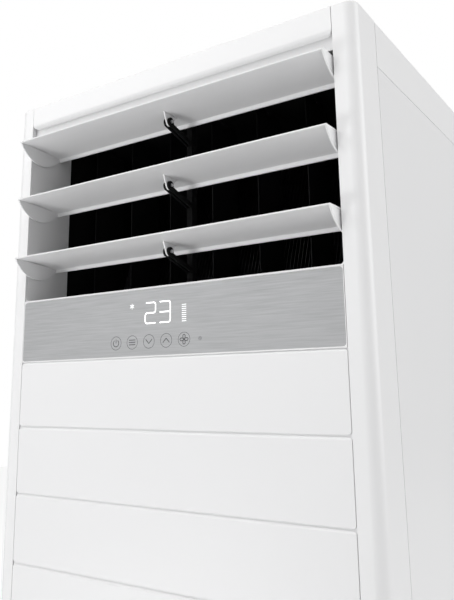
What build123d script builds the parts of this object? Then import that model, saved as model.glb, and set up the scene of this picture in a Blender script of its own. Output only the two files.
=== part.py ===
from build123d import *
import os
from math import asin, ceil, cos, floor, pi, radians, sin, tan

# A tall floor standing air conditioner. Millimetres, +Z up, the front faces -Y.
# The origin is on the floor, under the middle of the whole outline, open louvers included.

# ---------------------------------------------------------------- driving dimensions
# The cabinet and the bands of its front, from the top down
width = 590.0
depth = 440.0
height = 1840.0
louver_reach = 28.0
header_height = 38.4
outlet_height = 291.4
display_height = 96.1
plank_pitch = 97.5
plinth_least = 60.0

# Feet and base
foot_height = 14.0
foot_radius = 22.0
foot_inset = 48.0
foot_stem_radius = 5.0
foot_stem_length = 22.0
foot_hole_clearance = 0.4
base_height = 40.0
base_sheet = 1.5
base_inset = 1.0
base_rim = 22.0
anchor_inset = 55.0
anchor_spacing_y = 220.0
anchor_hole_radius = 6.0
exit_margin = 17.0
exit_corner = 8.0

# Corner pillars and the seams beside them
pillar_width = 30.1
pillar_depth = 68.0
pillar_wall = 2.5
corner_radius = 15.0
pillar_step = 2.1
pillar_flange = 8.0
pillar_return = 10.0
edge_round = 1.2
infill_seam = 0.6
side_seam = 0.8

# Sheet casings and the top cap
side_sheet = 1.2
side_flange = 14.0
rear_sheet = 1.0
rear_inset = 3.0
panel_fit = 0.3
cap_skirt = 64.0
cap_wall = 3.0
cap_round = 2.5
cap_corner = 6.0

# Header and outlet
header_wall = 2.8
header_lip_depth = 8.0
header_top_depth = 26.0
header_lip_round = 7.2
header_corner = 8.0
outlet_side_margin = 0.2
frame_wall = 2.0
frame_depth = 95.0
frame_corner = 7.0
ceiling_rise = 5.9

# Louvers: plates that turn about X on stub shafts and a centre pin
louver_count = 3
louver_pitch = 97.4
louver_drop = 29.8
louver_chord = 95.0
louver_rear_drop = 3.0
louver_crown = 2.2
louver_thickness = 2.4
louver_nose_round = 1.1
louver_lip = 7.5
louver_lip_wall = 2.6
louver_side_gap = 1.2
end_plate_wall = 2.2
end_plate_sag = 29.0
pivot_depth = 22.5
pivot_drop = 15.0
stub_radius = 3.0
bush_wall = 2.0
bush_flange = 1.0
bush_flange_width = 1.6
bush_gap = 0.5
crank_wall = 3.0
crank_hub_radius = 6.0
crank_length = 18.0
crank_pin_radius = 2.0
crank_end_radius = 4.2
link_gap = 0.5
link_wall = 2.2
link_half = 4.5
running_fit = 0.05
fin_wall = 2.4
fin_tip_radius = 6.0
fin_front = 10.0
fin_rear = 41.0
centre_pin_radius = 2.5
centre_pin_half = 7.0
prong_gap = 0.6
prong_wall = 3.0
prong_radius = 6.5
arm_height = 7.0
arm_fall = 18.0
strut_front = 76.0
strut_depth = 13.0
prong_slot = 36.0
stub_reach = 0.6
drive_reach = 9.0
louver_motor_length = 18.0
louver_motor_radius = 13.0
louver_motor_ear = 4.0
louver_motor_arm = 31.5
louver_motor_foot = 8.0

# Air duct and upright vanes
duct_side_gap = 15.0
duct_wall = 2.0
duct_seat = 0.3
duct_bar_half = 16.0
duct_frame = 10.0
vane_count = 7
vane_side_gap = 21.7
vane_coil_gap = 28.44
vane_chord = 77.0
vane_thickness = 1.8
vane_pivot = 40.0
vane_end_gap = 2.0
vane_pin_radius = 2.5
vane_pin_reach = 3.0
vane_boss_radius = 4.0
vane_boss_height = 6.0
vane_link_arm = 26.0
vane_link_pin = 1.8
vane_link_half = 5.0
vane_link_wall = 3.0
vane_link_end = 8.0
vane_notch_height = 14.0
vane_notch_drop = 34.0
vane_notch_depth = 21.0
vane_notch_over = 1.0
vane_drive_reach = 9.0
vane_motor_radius = 14.0
vane_motor_length = 18.0
vane_motor_ear = 24.0
vane_motor_ear_half = 5.0
vane_motor_ear_wall = 2.0

# Display strip
plate_margin = 1.0
plate_top_margin = 0.3
plate_bottom_margin = 1.6
plate_wall = 1.5
plate_corner = 4.0
sill_height = 2.2
carrier_depth = 14.0
carrier_wall = 2.2
window_width = 190.0
window_height = 68.0
board_margin = 8.0
board_wall = 1.6
lamp_count = 3
lamp_pitch = 48.0
lamp_width = 24.0
lamp_length = 34.0
lamp_height = 1.9

# Planked front panel, intake grille and plinth
plank_gap = 2.6
plank_corner = 5.5
plank_rise = 2.2
plank_edge = 0.9
plank_back = 2.5
front_flange_depth = 36.0
slot_height = 13.0
rib_count = 5
rib_wall = 3.5
rib_depth = 17.3
rib_inset = 8.0
slat_wall = 2.0
slat_height = 20.0
slat_setback = 7.0
hinge_depth = 8.0
hinge_rise = 18.0
hinge_pin_radius = 3.0
hinge_lug_wall = 4.0
hinge_lug_post = 4.4
hinge_side_gap = 2.0
plinth_wall = 2.5

# Filters and their frame
filter_frame_depth = 24.0
filter_frame_wall = 2.0
filter_wall = 5.0
filter_play = 0.4
filter_lip = 8.0
filter_ledge = 12.0
filter_lift = 20.0
filter_border = 10.0
filter_net = 0.8
filter_bars = 6
filter_bar = 2.4
window_border = 16.0

# Fan
deck_sheet = 1.2
deck_flange = 18.0
fan_z = 540.0
fan_back_room = 120.0
fan_width = 200.0
scroll_sheet = 1.2
wheel_radius = 175.0
scroll_start = 192.0
tongue_angle = 52.0
scroll_steps = 12
inlet_radius = 150.0
inlet_throat = 136.0
inlet_lead = 18.0
inlet_reach = 20.0
inlet_flange = 16.0
inlet_wall = 2.0
wheel_front_gap = 17.0
wheel_back_gap = 20.6
wheel_disc = 4.0
wheel_rim = 5.0
blade_count = 36
blade_depth = 28.0
blade_wall = 2.0
blade_sweep = 9.0
blade_bow = 3.0
hub_radius = 18.0
hub_length = 50.0
shaft_radius = 6.0
shaft_overhang = 4.0
motor_hole_radius = 30.0
shaft_fit = 0.02
bracket_radius = 95.0
bracket_wall = 2.5
motor_radius = 68.0
motor_length = 82.0
motor_boss_radius = 22.0
motor_boss_length = 6.0

# Coil, drain pan and pipes
coil_side_gap = 40.0
coil_top_gap = 33.7
coil_back_gap = 66.7
coil_thickness = 60.0
coil_length = 850.0
coil_foot_depth = 82.6
coil_web = 7.0
coil_fin_pitch = 6.5
coil_fin = 0.7
end_sheet = 1.5
bend_pitch = 50.0
bend_radius = 12.7
tube_radius = 4.8
duct_coil_gap = 0.3
baffle_start = 50.0
pan_wall = 2.5
pan_height = 44.0
pan_front = 34.0
pan_back = 142.0
pan_neck_gap = 1.0
pan_rib = 12.0
pipe_standoff = 12.5
pipe_offset = 17.0
bend_offset = -8.0
gas_radius = 7.94
gas_tap = 345.0
liquid_radius = 4.76
liquid_tap = 450.0
pipe_wall = 1.0
pipe_hole_gap = 1.5
pipe_end_z = 150.0
union_gas = 13.0
union_liquid = 9.0
union_hex = 12.0
union_stub = 14.0
union_step = 2.0
drain_wall_gap = 0.5
drain_radius = 9.0
drain_bore = 7.0
drain_depth = 118.0
drain_tail_radius = 8.0
drain_tail = 24.0
drain_fit = 0.3
elbow_radius = 11.0

# Electrical box and openings in the rear panel
box_x = -95.0
box_width = 250.0
box_depth = 110.0
box_height = 170.0
box_front = 80.0
box_sheet = 1.0
board_inset = 16.0
main_board_wall = 1.6
post_length = 8.0
chip_size = 26.0
chip_height = 9.0
terminal_ways = 5
terminal_size = 14.0
terminal_wall_height = 22.0
terminal_wall = 2.0
capacitor_radius = 20.0
capacitor_length = 52.0
passage_inset = 100.0
passage_z = 110.0
passage_radius = 32.0
passage_wall = 3.0
passage_length = 14.0
passage_rim = 6.0
gland_spacing = 105.0
gland_z = 100.0
gland_radius = 6.0
gland_wall = 3.5
gland_length = 16.0
gland_rim = 3.0
rim_thickness = 2.4

# Screws of the rear panel
screw_head_radius = 4.0
screw_head_height = 2.2
screw_radius = 1.9
screw_length = 9.0
screw_clearance = 0.2
screw_rows = 5
screw_edge = 8.2
tip_hole_spacing = 200.0
tip_hole_radius = 3.0
tip_hole_drop = 40.0

# ---------------------------------------------------------------- places worked out from them
half_width = width / 2
front_y = -(depth - louver_reach) / 2
back_y = front_y + depth
base_top = foot_height + base_height
header_bottom = height - header_height
outlet_bottom = header_bottom - outlet_height
display_bottom = outlet_bottom - display_height
lip_x = half_width - pillar_width
infill_half = lip_x - infill_seam
outlet_half = lip_x - outlet_side_margin
ceiling_z = header_bottom + ceiling_rise
louver_half = outlet_half - louver_side_gap
louver_plates = [header_bottom - louver_drop - i * louver_pitch for i in range(louver_count)]
vane_pitch = 2 * (outlet_half - vane_side_gap) / (vane_count - 1)
vane_places = [(i - (vane_count - 1) / 2) * vane_pitch for i in range(vane_count)]
duct_half = half_width - duct_side_gap

# The coil leans back from the drain pan to the rear panel. It hangs from the ceiling of the outlet,
# and the deck under its pan is where the front panel ends and the intake grille begins.
coil_half = half_width - coil_side_gap
lean = asin((depth - coil_back_gap - coil_foot_depth) / coil_length)
coil_foot_z = ceiling_z - coil_top_gap - coil_length * cos(lean)
deck_z = coil_foot_z - duct_seat - coil_thickness / 2 * sin(lean) - pan_rib - pan_wall
deck_underside = deck_z - deck_sheet
deck_room = deck_sheet + deck_flange + plank_back + panel_fit
front_planks = ceil((display_bottom - deck_z + deck_room) / plank_pitch)
front_bottom = display_bottom - front_planks * plank_pitch
grille_planks = floor((front_bottom - base_top - plinth_least) / plank_pitch)
plinth_top = front_bottom - grille_planks * plank_pitch
hinge_z = plinth_top + hinge_rise
fan_front = depth - fan_back_room - fan_width


def fy(distance):
    """The Y of a point that far behind the front face."""
    return front_y + distance


def facing(distance):
    """A plane parallel to the front, drawn as seen from the front: X right, Z up."""
    return Plane(origin=(0, fy(distance), 0), x_dir=(1, 0, 0), z_dir=(0, -1, 0))


coil_plane = Plane(
    origin=(0, fy(coil_foot_depth), coil_foot_z), x_dir=(1, 0, 0), z_dir=(0, sin(lean), cos(lean))
)
pipe_side = coil_half + end_sheet + pipe_standoff
drain_x = duct_half - pan_wall - drain_radius - drain_wall_gap


def coil_tap(run):
    """Where a pipe leaves the right end plate, that far up the slope of the coil."""
    return coil_plane.from_local_coords((coil_half + end_sheet, pipe_offset, run))


gas_start = coil_tap(gas_tap)
liquid_start = coil_tap(liquid_tap)


def block(x_span, y_span, z_span, mode=Mode.ADD):
    """A box between two limits along each axis."""
    spans = [sorted(span) for span in (x_span, y_span, z_span)]
    with Locations(tuple((low + high) / 2 for low, high in spans)):
        Box(*[high - low for low, high in spans], mode=mode)


def rod(start, end, radius, mode=Mode.ADD):
    """A round bar from one point to another."""
    line = Vector(*end) - Vector(*start)
    with BuildSketch(Plane(origin=start, z_dir=line)) as end_face:
        Circle(radius)
    extrude(end_face.sketch, amount=line.length, mode=mode)


def finish(builder, label):
    """Names a finished piece and writes its file."""
    builder.part.label = label
    export_step(builder.part, f"parts/{label}.step")


os.makedirs("parts", exist_ok=True)

# ---------------------------------------------------------------- feet and base
foot_places = [
    (x, y)
    for x in (-half_width + foot_inset, half_width - foot_inset)
    for y in (fy(foot_inset), back_y - foot_inset)
]
anchor_middle_y = (front_y + back_y) / 2

with BuildPart() as levelling_feet:
    with BuildSketch(Plane.XY):
        with Locations(*foot_places):
            Circle(foot_radius)
    extrude(amount=foot_height)
    with BuildSketch(Plane.XY):
        with Locations(*foot_places):
            Circle(foot_stem_radius)
    extrude(amount=foot_height + foot_stem_length)
finish(levelling_feet, "levelling_feet")

with BuildPart() as base_pan:
    pan_x = half_width - base_inset
    pan_y = (front_y + base_inset, back_y - base_inset)
    block((-pan_x, pan_x), pan_y, (foot_height, base_top))
    fillet(base_pan.edges().filter_by(Axis.Z).group_by(Axis.Y)[0], corner_radius - base_inset)
    inner_x = pan_x - base_sheet
    inner_y = (pan_y[0] + base_sheet, pan_y[1] - base_sheet)
    with BuildSketch(Plane.XY.offset(foot_height + base_sheet)) as pan_hollow:
        with Locations((0, sum(inner_y) / 2)):
            Rectangle(2 * inner_x, inner_y[1] - inner_y[0])
        fillet(pan_hollow.vertices().group_by(Axis.Y)[0], corner_radius - base_inset - base_sheet)
    extrude(amount=base_height - 2 * base_sheet, mode=Mode.SUBTRACT)
    rim_x = pan_x - base_rim
    rim_y = (pan_y[0] + base_rim, pan_y[1] - base_rim)
    block((-rim_x, rim_x), rim_y, (base_top - base_sheet, base_top), Mode.SUBTRACT)
    with BuildSketch(Plane.XY.offset(foot_height)):
        with Locations(*foot_places):
            Circle(foot_stem_radius + foot_hole_clearance)
        with Locations((0, anchor_middle_y)):
            with GridLocations(2 * (half_width - anchor_inset), anchor_spacing_y, 2, 2):
                Circle(anchor_hole_radius)
    extrude(amount=base_sheet, mode=Mode.SUBTRACT)
    exit_y = (fy(drain_depth) - exit_margin, liquid_start.Y + exit_margin)
    with BuildSketch(Plane.XY.offset(foot_height)):
        with Locations((pipe_side, sum(exit_y) / 2)):
            RectangleRounded(2 * exit_margin, exit_y[1] - exit_y[0], exit_corner)
    extrude(amount=base_height, mode=Mode.SUBTRACT)
finish(base_pan, "base_pan")


# ---------------------------------------------------------------- corner pillars
def pillar(side):
    """A front corner moulding: rounded outside, stepped flange inside, closed at the top."""

    def at(x, y):
        return (side * x, fy(y))

    arc_x = half_width - corner_radius
    step_x = lip_x + pillar_step
    outer_mid = at(arc_x + corner_radius * sin(pi / 4), corner_radius * (1 - cos(pi / 4)))
    inner_radius = corner_radius - pillar_wall
    inner_mid = at(arc_x + inner_radius * sin(pi / 4), corner_radius - inner_radius * cos(pi / 4))
    with BuildPart() as post:
        with BuildSketch(Plane.XY.offset(base_top)):
            with BuildLine():
                Polyline(at(lip_x, 0), at(arc_x, 0))
                ThreePointArc(at(arc_x, 0), outer_mid, at(half_width, corner_radius))
                Polyline(
                    at(half_width, corner_radius),
                    at(half_width, pillar_depth),
                    at(half_width - pillar_return, pillar_depth),
                    at(half_width - pillar_return, pillar_depth - pillar_wall),
                    at(half_width - pillar_wall, pillar_depth - pillar_wall),
                    at(half_width - pillar_wall, corner_radius),
                )
                ThreePointArc(at(half_width - pillar_wall, corner_radius), inner_mid, at(arc_x, pillar_wall))
                Polyline(
                    at(arc_x, pillar_wall),
                    at(step_x + pillar_wall, pillar_wall),
                    at(step_x + pillar_wall, pillar_flange),
                    at(step_x, pillar_flange),
                    at(step_x, pillar_wall),
                    at(lip_x, pillar_wall),
                    at(lip_x, 0),
                )
            make_face()
        extrude(amount=height - base_top)
        with BuildSketch(Plane.XY.offset(height)):
            with BuildLine():
                Polyline(at(lip_x, 0), at(arc_x, 0))
                ThreePointArc(at(arc_x, 0), outer_mid, at(half_width, corner_radius))
                Polyline(
                    at(half_width, corner_radius),
                    at(half_width, pillar_depth),
                    at(lip_x, pillar_depth),
                    at(lip_x, 0),
                )
            make_face()
        extrude(amount=-pillar_wall)
        top_face = post.faces().filter_by(Axis.Z).sort_by(Axis.Z)[-1]
        fillet(top_face.outer_wire().edges(), edge_round)
    return post


pillar_right = pillar(1)
finish(pillar_right, "pillar_right")
pillar_left = pillar(-1)
finish(pillar_left, "pillar_left")


# ---------------------------------------------------------------- side panels, rear panel and top cap
panel_front = fy(pillar_depth + side_seam)
panel_top = height - cap_skirt - side_seam
flange_back = back_y - rear_inset - rear_sheet
screw_x = half_width - side_sheet - screw_edge
screw_span = panel_top - base_top
passage_x = half_width - passage_inset
gland_x = passage_x - gland_spacing
screw_heights = [base_top + screw_span * (i + 0.5) / screw_rows for i in range(screw_rows)]


def side_panel(side):
    """A folded sheet side with a flange along each upright edge."""

    def at(x, y):
        return (side * x, y)

    inner_x = half_width - side_sheet
    with BuildPart() as panel:
        with BuildSketch(Plane.XY.offset(base_top)):
            with BuildLine():
                Polyline(
                    at(half_width, panel_front),
                    at(half_width, back_y),
                    at(inner_x, back_y),
                    at(inner_x, flange_back),
                    at(half_width - side_flange, flange_back),
                    at(half_width - side_flange, flange_back - side_sheet),
                    at(inner_x, flange_back - side_sheet),
                    at(inner_x, panel_front + side_sheet),
                    at(half_width - side_flange, panel_front + side_sheet),
                    at(half_width - side_flange, panel_front),
                    at(half_width, panel_front),
                )
            make_face()
        extrude(amount=panel_top - base_top)
        for z in screw_heights:
            rod(at(screw_x, back_y) + (z,), at(screw_x, fy(depth / 2)) + (z,), screw_radius + screw_clearance,
                Mode.SUBTRACT)
    return panel


side_panel_right = side_panel(1)
finish(side_panel_right, "side_panel_right")
side_panel_left = side_panel(-1)
finish(side_panel_left, "side_panel_left")

with BuildPart() as rear_panel:
    rear_x = half_width - side_sheet - panel_fit
    with BuildSketch(Plane(origin=(0, back_y - rear_inset, 0), x_dir=(1, 0, 0), z_dir=(0, -1, 0))):
        with Locations((0, (base_top + panel_top) / 2)):
            Rectangle(2 * rear_x, panel_top - base_top)
        with Locations(*[(x, z) for x in (-screw_x, screw_x) for z in screw_heights]):
            Circle(screw_radius + screw_clearance, mode=Mode.SUBTRACT)
        with Locations((passage_x, passage_z)):
            Circle(passage_radius + passage_wall, mode=Mode.SUBTRACT)
        with Locations((gland_x, gland_z)):
            Circle(gland_radius + gland_wall, mode=Mode.SUBTRACT)
        with Locations((0, panel_top - tip_hole_drop)):
            with GridLocations(tip_hole_spacing, 1, 2, 1):
                Circle(tip_hole_radius, mode=Mode.SUBTRACT)
    extrude(amount=rear_sheet)
finish(rear_panel, "rear_panel")

with BuildPart() as cabinet_screws:
    for x in (-screw_x, screw_x):
        for z in screw_heights:
            head_y = back_y - rear_inset
            rod((x, head_y, z), (x, head_y + screw_head_height, z), screw_head_radius)
            rod((x, head_y, z), (x, head_y - screw_length, z), screw_radius)
finish(cabinet_screws, "cabinet_screws")

with BuildPart() as top_cap:
    block((-half_width, half_width), (panel_front, back_y), (height - cap_skirt, height))
    rear_corners = top_cap.edges().filter_by(Axis.Z).group_by(Axis.Y)[-1]
    fillet(rear_corners, cap_corner)
    fillet(top_cap.faces().sort_by(Axis.Z)[-1].outer_wire().edges(), cap_round)
    cap_inner = half_width - cap_wall
    block((-cap_inner, cap_inner), (panel_front, back_y - cap_wall), (height - cap_skirt, height - cap_wall),
          Mode.SUBTRACT)
    block((-infill_half, infill_half), (fy(header_top_depth + infill_seam), panel_front),
          (height - cap_wall, height))
    block((-infill_half, infill_half), (panel_front, panel_front + cap_corner), (height - cap_wall, height))
finish(top_cap, "top_cap")

# ---------------------------------------------------------------- header above the outlet
with BuildPart() as header_panel:
    with BuildSketch(Plane.YZ.offset(-infill_half)) as header_section:
        with BuildLine():
            Polyline(
                (fy(0), header_bottom),
                (fy(header_lip_depth), header_bottom),
                (fy(header_lip_depth), header_bottom + header_wall),
                (fy(header_wall), header_bottom + header_wall),
                (fy(header_wall), height - header_wall),
                (fy(header_top_depth), height - header_wall),
                (fy(header_top_depth), height),
                (fy(0), height),
                (fy(0), header_bottom),
            )
        make_face()
        lip_inside = header_section.vertices().group_by(Axis.X)[1].sort_by(Axis.Y)[0]
        fillet(lip_inside, header_lip_round - header_wall)
        fillet(header_section.vertices().group_by(Axis.X)[0].sort_by(Axis.Y)[0], header_lip_round)
        fillet(header_section.vertices().group_by(Axis.X)[0].sort_by(Axis.Y)[-1], edge_round)
    extrude(amount=2 * infill_half)
    with BuildSketch(facing(0)) as header_outline:
        with Locations((0, height - header_height / 2)):
            Rectangle(2 * infill_half, header_height)
        fillet(header_outline.vertices().group_by(Axis.Y)[0], header_corner)
    extrude(amount=-header_top_depth, mode=Mode.INTERSECT)
finish(header_panel, "header_panel")

# ---------------------------------------------------------------- outlet frame
pivot_y = fy(pivot_depth)
pivot_heights = [z - pivot_drop for z in louver_plates]
bush_radius = stub_radius + running_fit + bush_wall
frame_outer = outlet_half + frame_wall
frame_front = pillar_wall + panel_fit
duct_front = frame_depth + duct_seat

with BuildPart() as outlet_frame:
    block((-frame_outer, frame_outer), (fy(frame_front), fy(frame_depth)),
          (outlet_bottom - sill_height, ceiling_z + frame_wall))
    block((-infill_half, infill_half), (fy(0), fy(frame_depth)), (outlet_bottom - sill_height, outlet_bottom))
    with BuildSketch(facing(-louver_reach)) as outlet_opening:
        with Locations((0, (outlet_bottom + ceiling_z) / 2)):
            Rectangle(2 * outlet_half, ceiling_z - outlet_bottom)
        fillet(outlet_opening.vertices().group_by(Axis.Y)[0], frame_corner)
    extrude(amount=-(louver_reach + frame_depth), mode=Mode.SUBTRACT)
    block((-frame_outer, frame_outer), (fy(frame_front), fy(header_lip_depth + panel_fit)),
          (ceiling_z, ceiling_z + frame_wall), Mode.SUBTRACT)
    for z in pivot_heights:
        rod((-frame_outer, pivot_y, z), (frame_outer, pivot_y, z), bush_radius, Mode.SUBTRACT)
finish(outlet_frame, "outlet_frame")

with BuildPart() as louver_bushes:
    for side in (-1, 1):
        for z in pivot_heights:
            inner_end = side * outlet_half
            outer_end = side * (frame_outer + bush_flange)
            rod((inner_end, pivot_y, z), (outer_end, pivot_y, z), bush_radius)
            rod((side * frame_outer, pivot_y, z), (outer_end, pivot_y, z), bush_radius + bush_flange_width)
            rod((inner_end, pivot_y, z), (outer_end, pivot_y, z), stub_radius + running_fit, Mode.SUBTRACT)
finish(louver_bushes, "louver_bushes")

# ---------------------------------------------------------------- centre support of the louvers
prong_inner = fin_wall / 2 + prong_gap
prong_outer = prong_inner + prong_wall

with BuildPart() as centre_support:
    block((-prong_outer, prong_outer), (fy(strut_front), fy(strut_front + strut_depth)),
          (outlet_bottom, ceiling_z))
    for z in pivot_heights:
        with BuildSketch(Plane.YZ.offset(-prong_outer)):
            with Locations((pivot_y, z)):
                Circle(prong_radius)
            with BuildLine():
                Polyline(
                    (pivot_y, z),
                    (fy(strut_front), z - arm_fall + arm_height / 2),
                    (fy(strut_front), z - arm_fall - arm_height / 2),
                    (pivot_y, z - prong_radius),
                    (pivot_y, z),
                )
            make_face()
        extrude(amount=2 * prong_outer)
        block((-prong_inner, prong_inner), (fy(0), fy(strut_front)), (z - prong_slot, z + prong_slot),
              Mode.SUBTRACT)
        rod((-prong_outer, pivot_y, z), (prong_outer, pivot_y, z), centre_pin_radius, Mode.SUBTRACT)
finish(centre_support, "centre_support")

with BuildPart() as centre_pins:
    for z in pivot_heights:
        rod((-centre_pin_half, pivot_y, z), (centre_pin_half, pivot_y, z), centre_pin_radius)
finish(centre_pins, "centre_pins")


# ---------------------------------------------------------------- louvers
crank_inner = frame_outer + bush_flange + bush_gap
crank_outer = crank_inner + crank_wall
link_inner = crank_outer + link_gap
link_outer = link_inner + link_wall
crank_pin_y = pivot_y + crank_length


def louver(plate_z, drive_length):
    """A louver plate with its end plates, centre fin, stub shafts and crank, open as it stands."""
    nose_y = fy(-louver_reach)
    rear_y = nose_y + louver_chord
    rear_z = plate_z - louver_rear_drop
    middle = ((nose_y + rear_y) / 2, (plate_z + rear_z) / 2 + louver_crown)
    lip_y = rear_y - louver_lip_wall
    lip_root = rear_z - louver_thickness
    pivot_z = plate_z - pivot_drop
    with BuildPart() as blade:
        with BuildSketch(Plane.YZ.offset(-louver_half)) as section:
            with BuildLine():
                ThreePointArc((nose_y, plate_z), middle, (rear_y, rear_z))
                Polyline(
                    (rear_y, rear_z),
                    (rear_y, rear_z - louver_lip),
                    (lip_y, rear_z - louver_lip),
                    (lip_y - louver_lip_wall, lip_root),
                )
                ThreePointArc(
                    (lip_y - louver_lip_wall, lip_root),
                    (middle[0], middle[1] - louver_thickness),
                    (nose_y, plate_z - louver_thickness),
                )
                Line((nose_y, plate_z - louver_thickness), (nose_y, plate_z))
            make_face()
            fillet(section.vertices().group_by(Axis.X)[0], louver_nose_round)
            fillet(section.vertices().group_by(Axis.Y)[0], louver_nose_round)
        extrude(amount=2 * louver_half)
        for side in (-1, 1):
            with BuildSketch(Plane.YZ.offset(side * louver_half)):
                with BuildLine():
                    chord_start = (nose_y + louver_nose_round, plate_z - louver_thickness / 2)
                    chord_end = (rear_y, rear_z - louver_thickness / 2)
                    ThreePointArc(chord_start, (middle[0], plate_z - end_plate_sag), chord_end)
                    Line(chord_end, chord_start)
                make_face()
            extrude(amount=-side * end_plate_wall)
            rod((side * (louver_half - end_plate_wall), pivot_y, pivot_z),
                (side * (frame_outer + bush_flange + stub_reach), pivot_y, pivot_z), stub_radius)
        with BuildSketch(Plane.YZ.offset(-fin_wall / 2)):
            with Locations((pivot_y, pivot_z)):
                Circle(fin_tip_radius)
            with Locations((fy((fin_front + fin_rear) / 2), plate_z - louver_thickness / 2)):
                Rectangle(fin_rear - fin_front, louver_thickness / 2)
            make_hull()
        extrude(amount=fin_wall)
        rod((-fin_wall, pivot_y, pivot_z), (fin_wall, pivot_y, pivot_z), centre_pin_radius + running_fit,
            Mode.SUBTRACT)
        with BuildSketch(Plane.YZ.offset(-crank_inner)):
            with Locations((pivot_y, pivot_z)):
                Circle(crank_hub_radius)
            with Locations((crank_pin_y, pivot_z)):
                Circle(crank_end_radius)
            make_hull()
        extrude(amount=-crank_wall)
        rod((-crank_outer, crank_pin_y, pivot_z), (-link_outer - link_gap, crank_pin_y, pivot_z),
            crank_pin_radius)
        if drive_length > 0:
            drive_start = frame_outer + bush_flange
            rod((drive_start, pivot_y, pivot_z), (drive_start + drive_length, pivot_y, pivot_z), stub_radius)
    return blade


louver_names = ["louver_top", "louver_middle", "louver_bottom"]
driven_louver = 1
for i, name in enumerate(louver_names):
    finish(louver(louver_plates[i], drive_reach if i == driven_louver else 0), name)

with BuildPart() as louver_link:
    link_ends = (pivot_heights[-1] - link_half, pivot_heights[0] + link_half)
    block((-link_outer, -link_inner), (crank_pin_y - link_half, crank_pin_y + link_half), link_ends)
    for z in pivot_heights:
        rod((-link_outer, crank_pin_y, z), (-link_inner, crank_pin_y, z), crank_pin_radius + running_fit,
            Mode.SUBTRACT)
finish(louver_link, "louver_link")

motor_seat = frame_outer + bush_flange + stub_reach
with BuildPart() as louver_motor:
    drive_z = pivot_heights[driven_louver]
    motor_end = motor_seat + louver_motor_length
    ear_z = (drive_z - louver_motor_ear, drive_z + louver_motor_ear)
    foot_y = (pivot_y + louver_motor_arm - louver_motor_foot, pivot_y + louver_motor_arm)
    rod((motor_seat, pivot_y, drive_z), (motor_end, pivot_y, drive_z), louver_motor_radius)
    block((motor_seat, motor_end), (pivot_y, foot_y[1]), ear_z)
    block((frame_outer, motor_seat + louver_motor_ear), foot_y, ear_z)
    rod((motor_seat, pivot_y, drive_z), (motor_seat + drive_reach, pivot_y, drive_z),
        stub_radius + running_fit, Mode.SUBTRACT)
finish(louver_motor, "louver_motor")

# ---------------------------------------------------------------- air duct between the frame and the coil
coil_front_plane = Plane(
    origin=coil_plane.from_local_coords((0, -coil_thickness / 2 - duct_coil_gap, 0)),
    x_dir=(1, 0, 0),
    z_dir=coil_plane.y_dir,
)
coil_face = coil_foot_depth + (outlet_bottom - coil_foot_z) * tan(lean) - coil_thickness / 2 / cos(lean)
vane_front = coil_face - vane_coil_gap - vane_chord
vane_axis_y = fy(vane_front + vane_pivot)
with BuildPart() as air_duct:
    duct_outer = duct_half + duct_wall
    duct_back = fy(depth - rear_inset - cap_wall)
    block((-duct_outer, duct_outer), (fy(duct_front), duct_back),
          (outlet_bottom - duct_wall, ceiling_z + duct_wall))
    block((-duct_half, duct_half), (fy(duct_front + duct_wall), duct_back), (outlet_bottom, ceiling_z),
          Mode.SUBTRACT)
    block((-outlet_half, outlet_half), (fy(duct_front), fy(duct_front + duct_wall)),
          (outlet_bottom, ceiling_z), Mode.SUBTRACT)
    split(bisect_by=coil_front_plane, keep=Keep.BOTTOM)
    floor_half = duct_half - duct_frame
    for span in (
        (fy(duct_front + duct_frame), vane_axis_y - duct_bar_half),
        (vane_axis_y + duct_bar_half, duct_back),
    ):
        block((-floor_half, floor_half), span, (outlet_bottom - duct_wall, outlet_bottom), Mode.SUBTRACT)
    for x in vane_places:
        rod((x, vane_axis_y, outlet_bottom - duct_wall), (x, vane_axis_y, ceiling_z + duct_wall),
            vane_pin_radius + running_fit, Mode.SUBTRACT)
finish(air_duct, "air_duct")

# ---------------------------------------------------------------- upright vanes
notch_top = ceiling_z - vane_notch_drop
notch_bottom = notch_top - vane_notch_height
link_pin_y = vane_axis_y + vane_link_arm
driven_vane = vane_count // 2


def vane(x, drive_length):
    """An upright blade on two pins, with a notch and a small pin for the link bar."""
    low = outlet_bottom + vane_end_gap
    high = ceiling_z - vane_end_gap
    with BuildPart() as blade:
        with BuildSketch(Plane.XY.offset(low)):
            with Locations((x, fy(vane_front + vane_chord / 2))):
                SlotOverall(vane_chord, vane_thickness, rotation=90)
        extrude(amount=high - low)
        for z in (low, high - vane_boss_height):
            rod((x, vane_axis_y, z), (x, vane_axis_y, z + vane_boss_height), vane_boss_radius)
        block((x - vane_boss_radius, x + vane_boss_radius),
              (fy(vane_front + vane_chord) - vane_notch_depth, fy(vane_front + vane_chord + vane_notch_over)),
              (notch_bottom, notch_top), Mode.SUBTRACT)
        rod((x, link_pin_y, notch_bottom - vane_thickness), (x, link_pin_y, notch_top + vane_thickness),
            vane_link_pin)
        rod((x, vane_axis_y, high), (x, vane_axis_y, ceiling_z + vane_pin_reach), vane_pin_radius)
        rod((x, vane_axis_y, low), (x, vane_axis_y, outlet_bottom - vane_pin_reach - drive_length),
            vane_pin_radius)
    return blade


for i, x in enumerate(vane_places):
    finish(vane(x, vane_drive_reach if i == driven_vane else 0), f"vane_{i + 1}")

with BuildPart() as vane_link:
    bar_x = vane_places[-1] + vane_link_end
    bar_z = (notch_top + notch_bottom) / 2
    block((-bar_x, bar_x), (link_pin_y - vane_link_half, link_pin_y + vane_link_half),
          (bar_z - vane_link_wall / 2, bar_z + vane_link_wall / 2))
    for x in vane_places:
        rod((x, link_pin_y, bar_z - vane_link_wall), (x, link_pin_y, bar_z + vane_link_wall),
            vane_link_pin + running_fit, Mode.SUBTRACT)
finish(vane_link, "vane_link")

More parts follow.
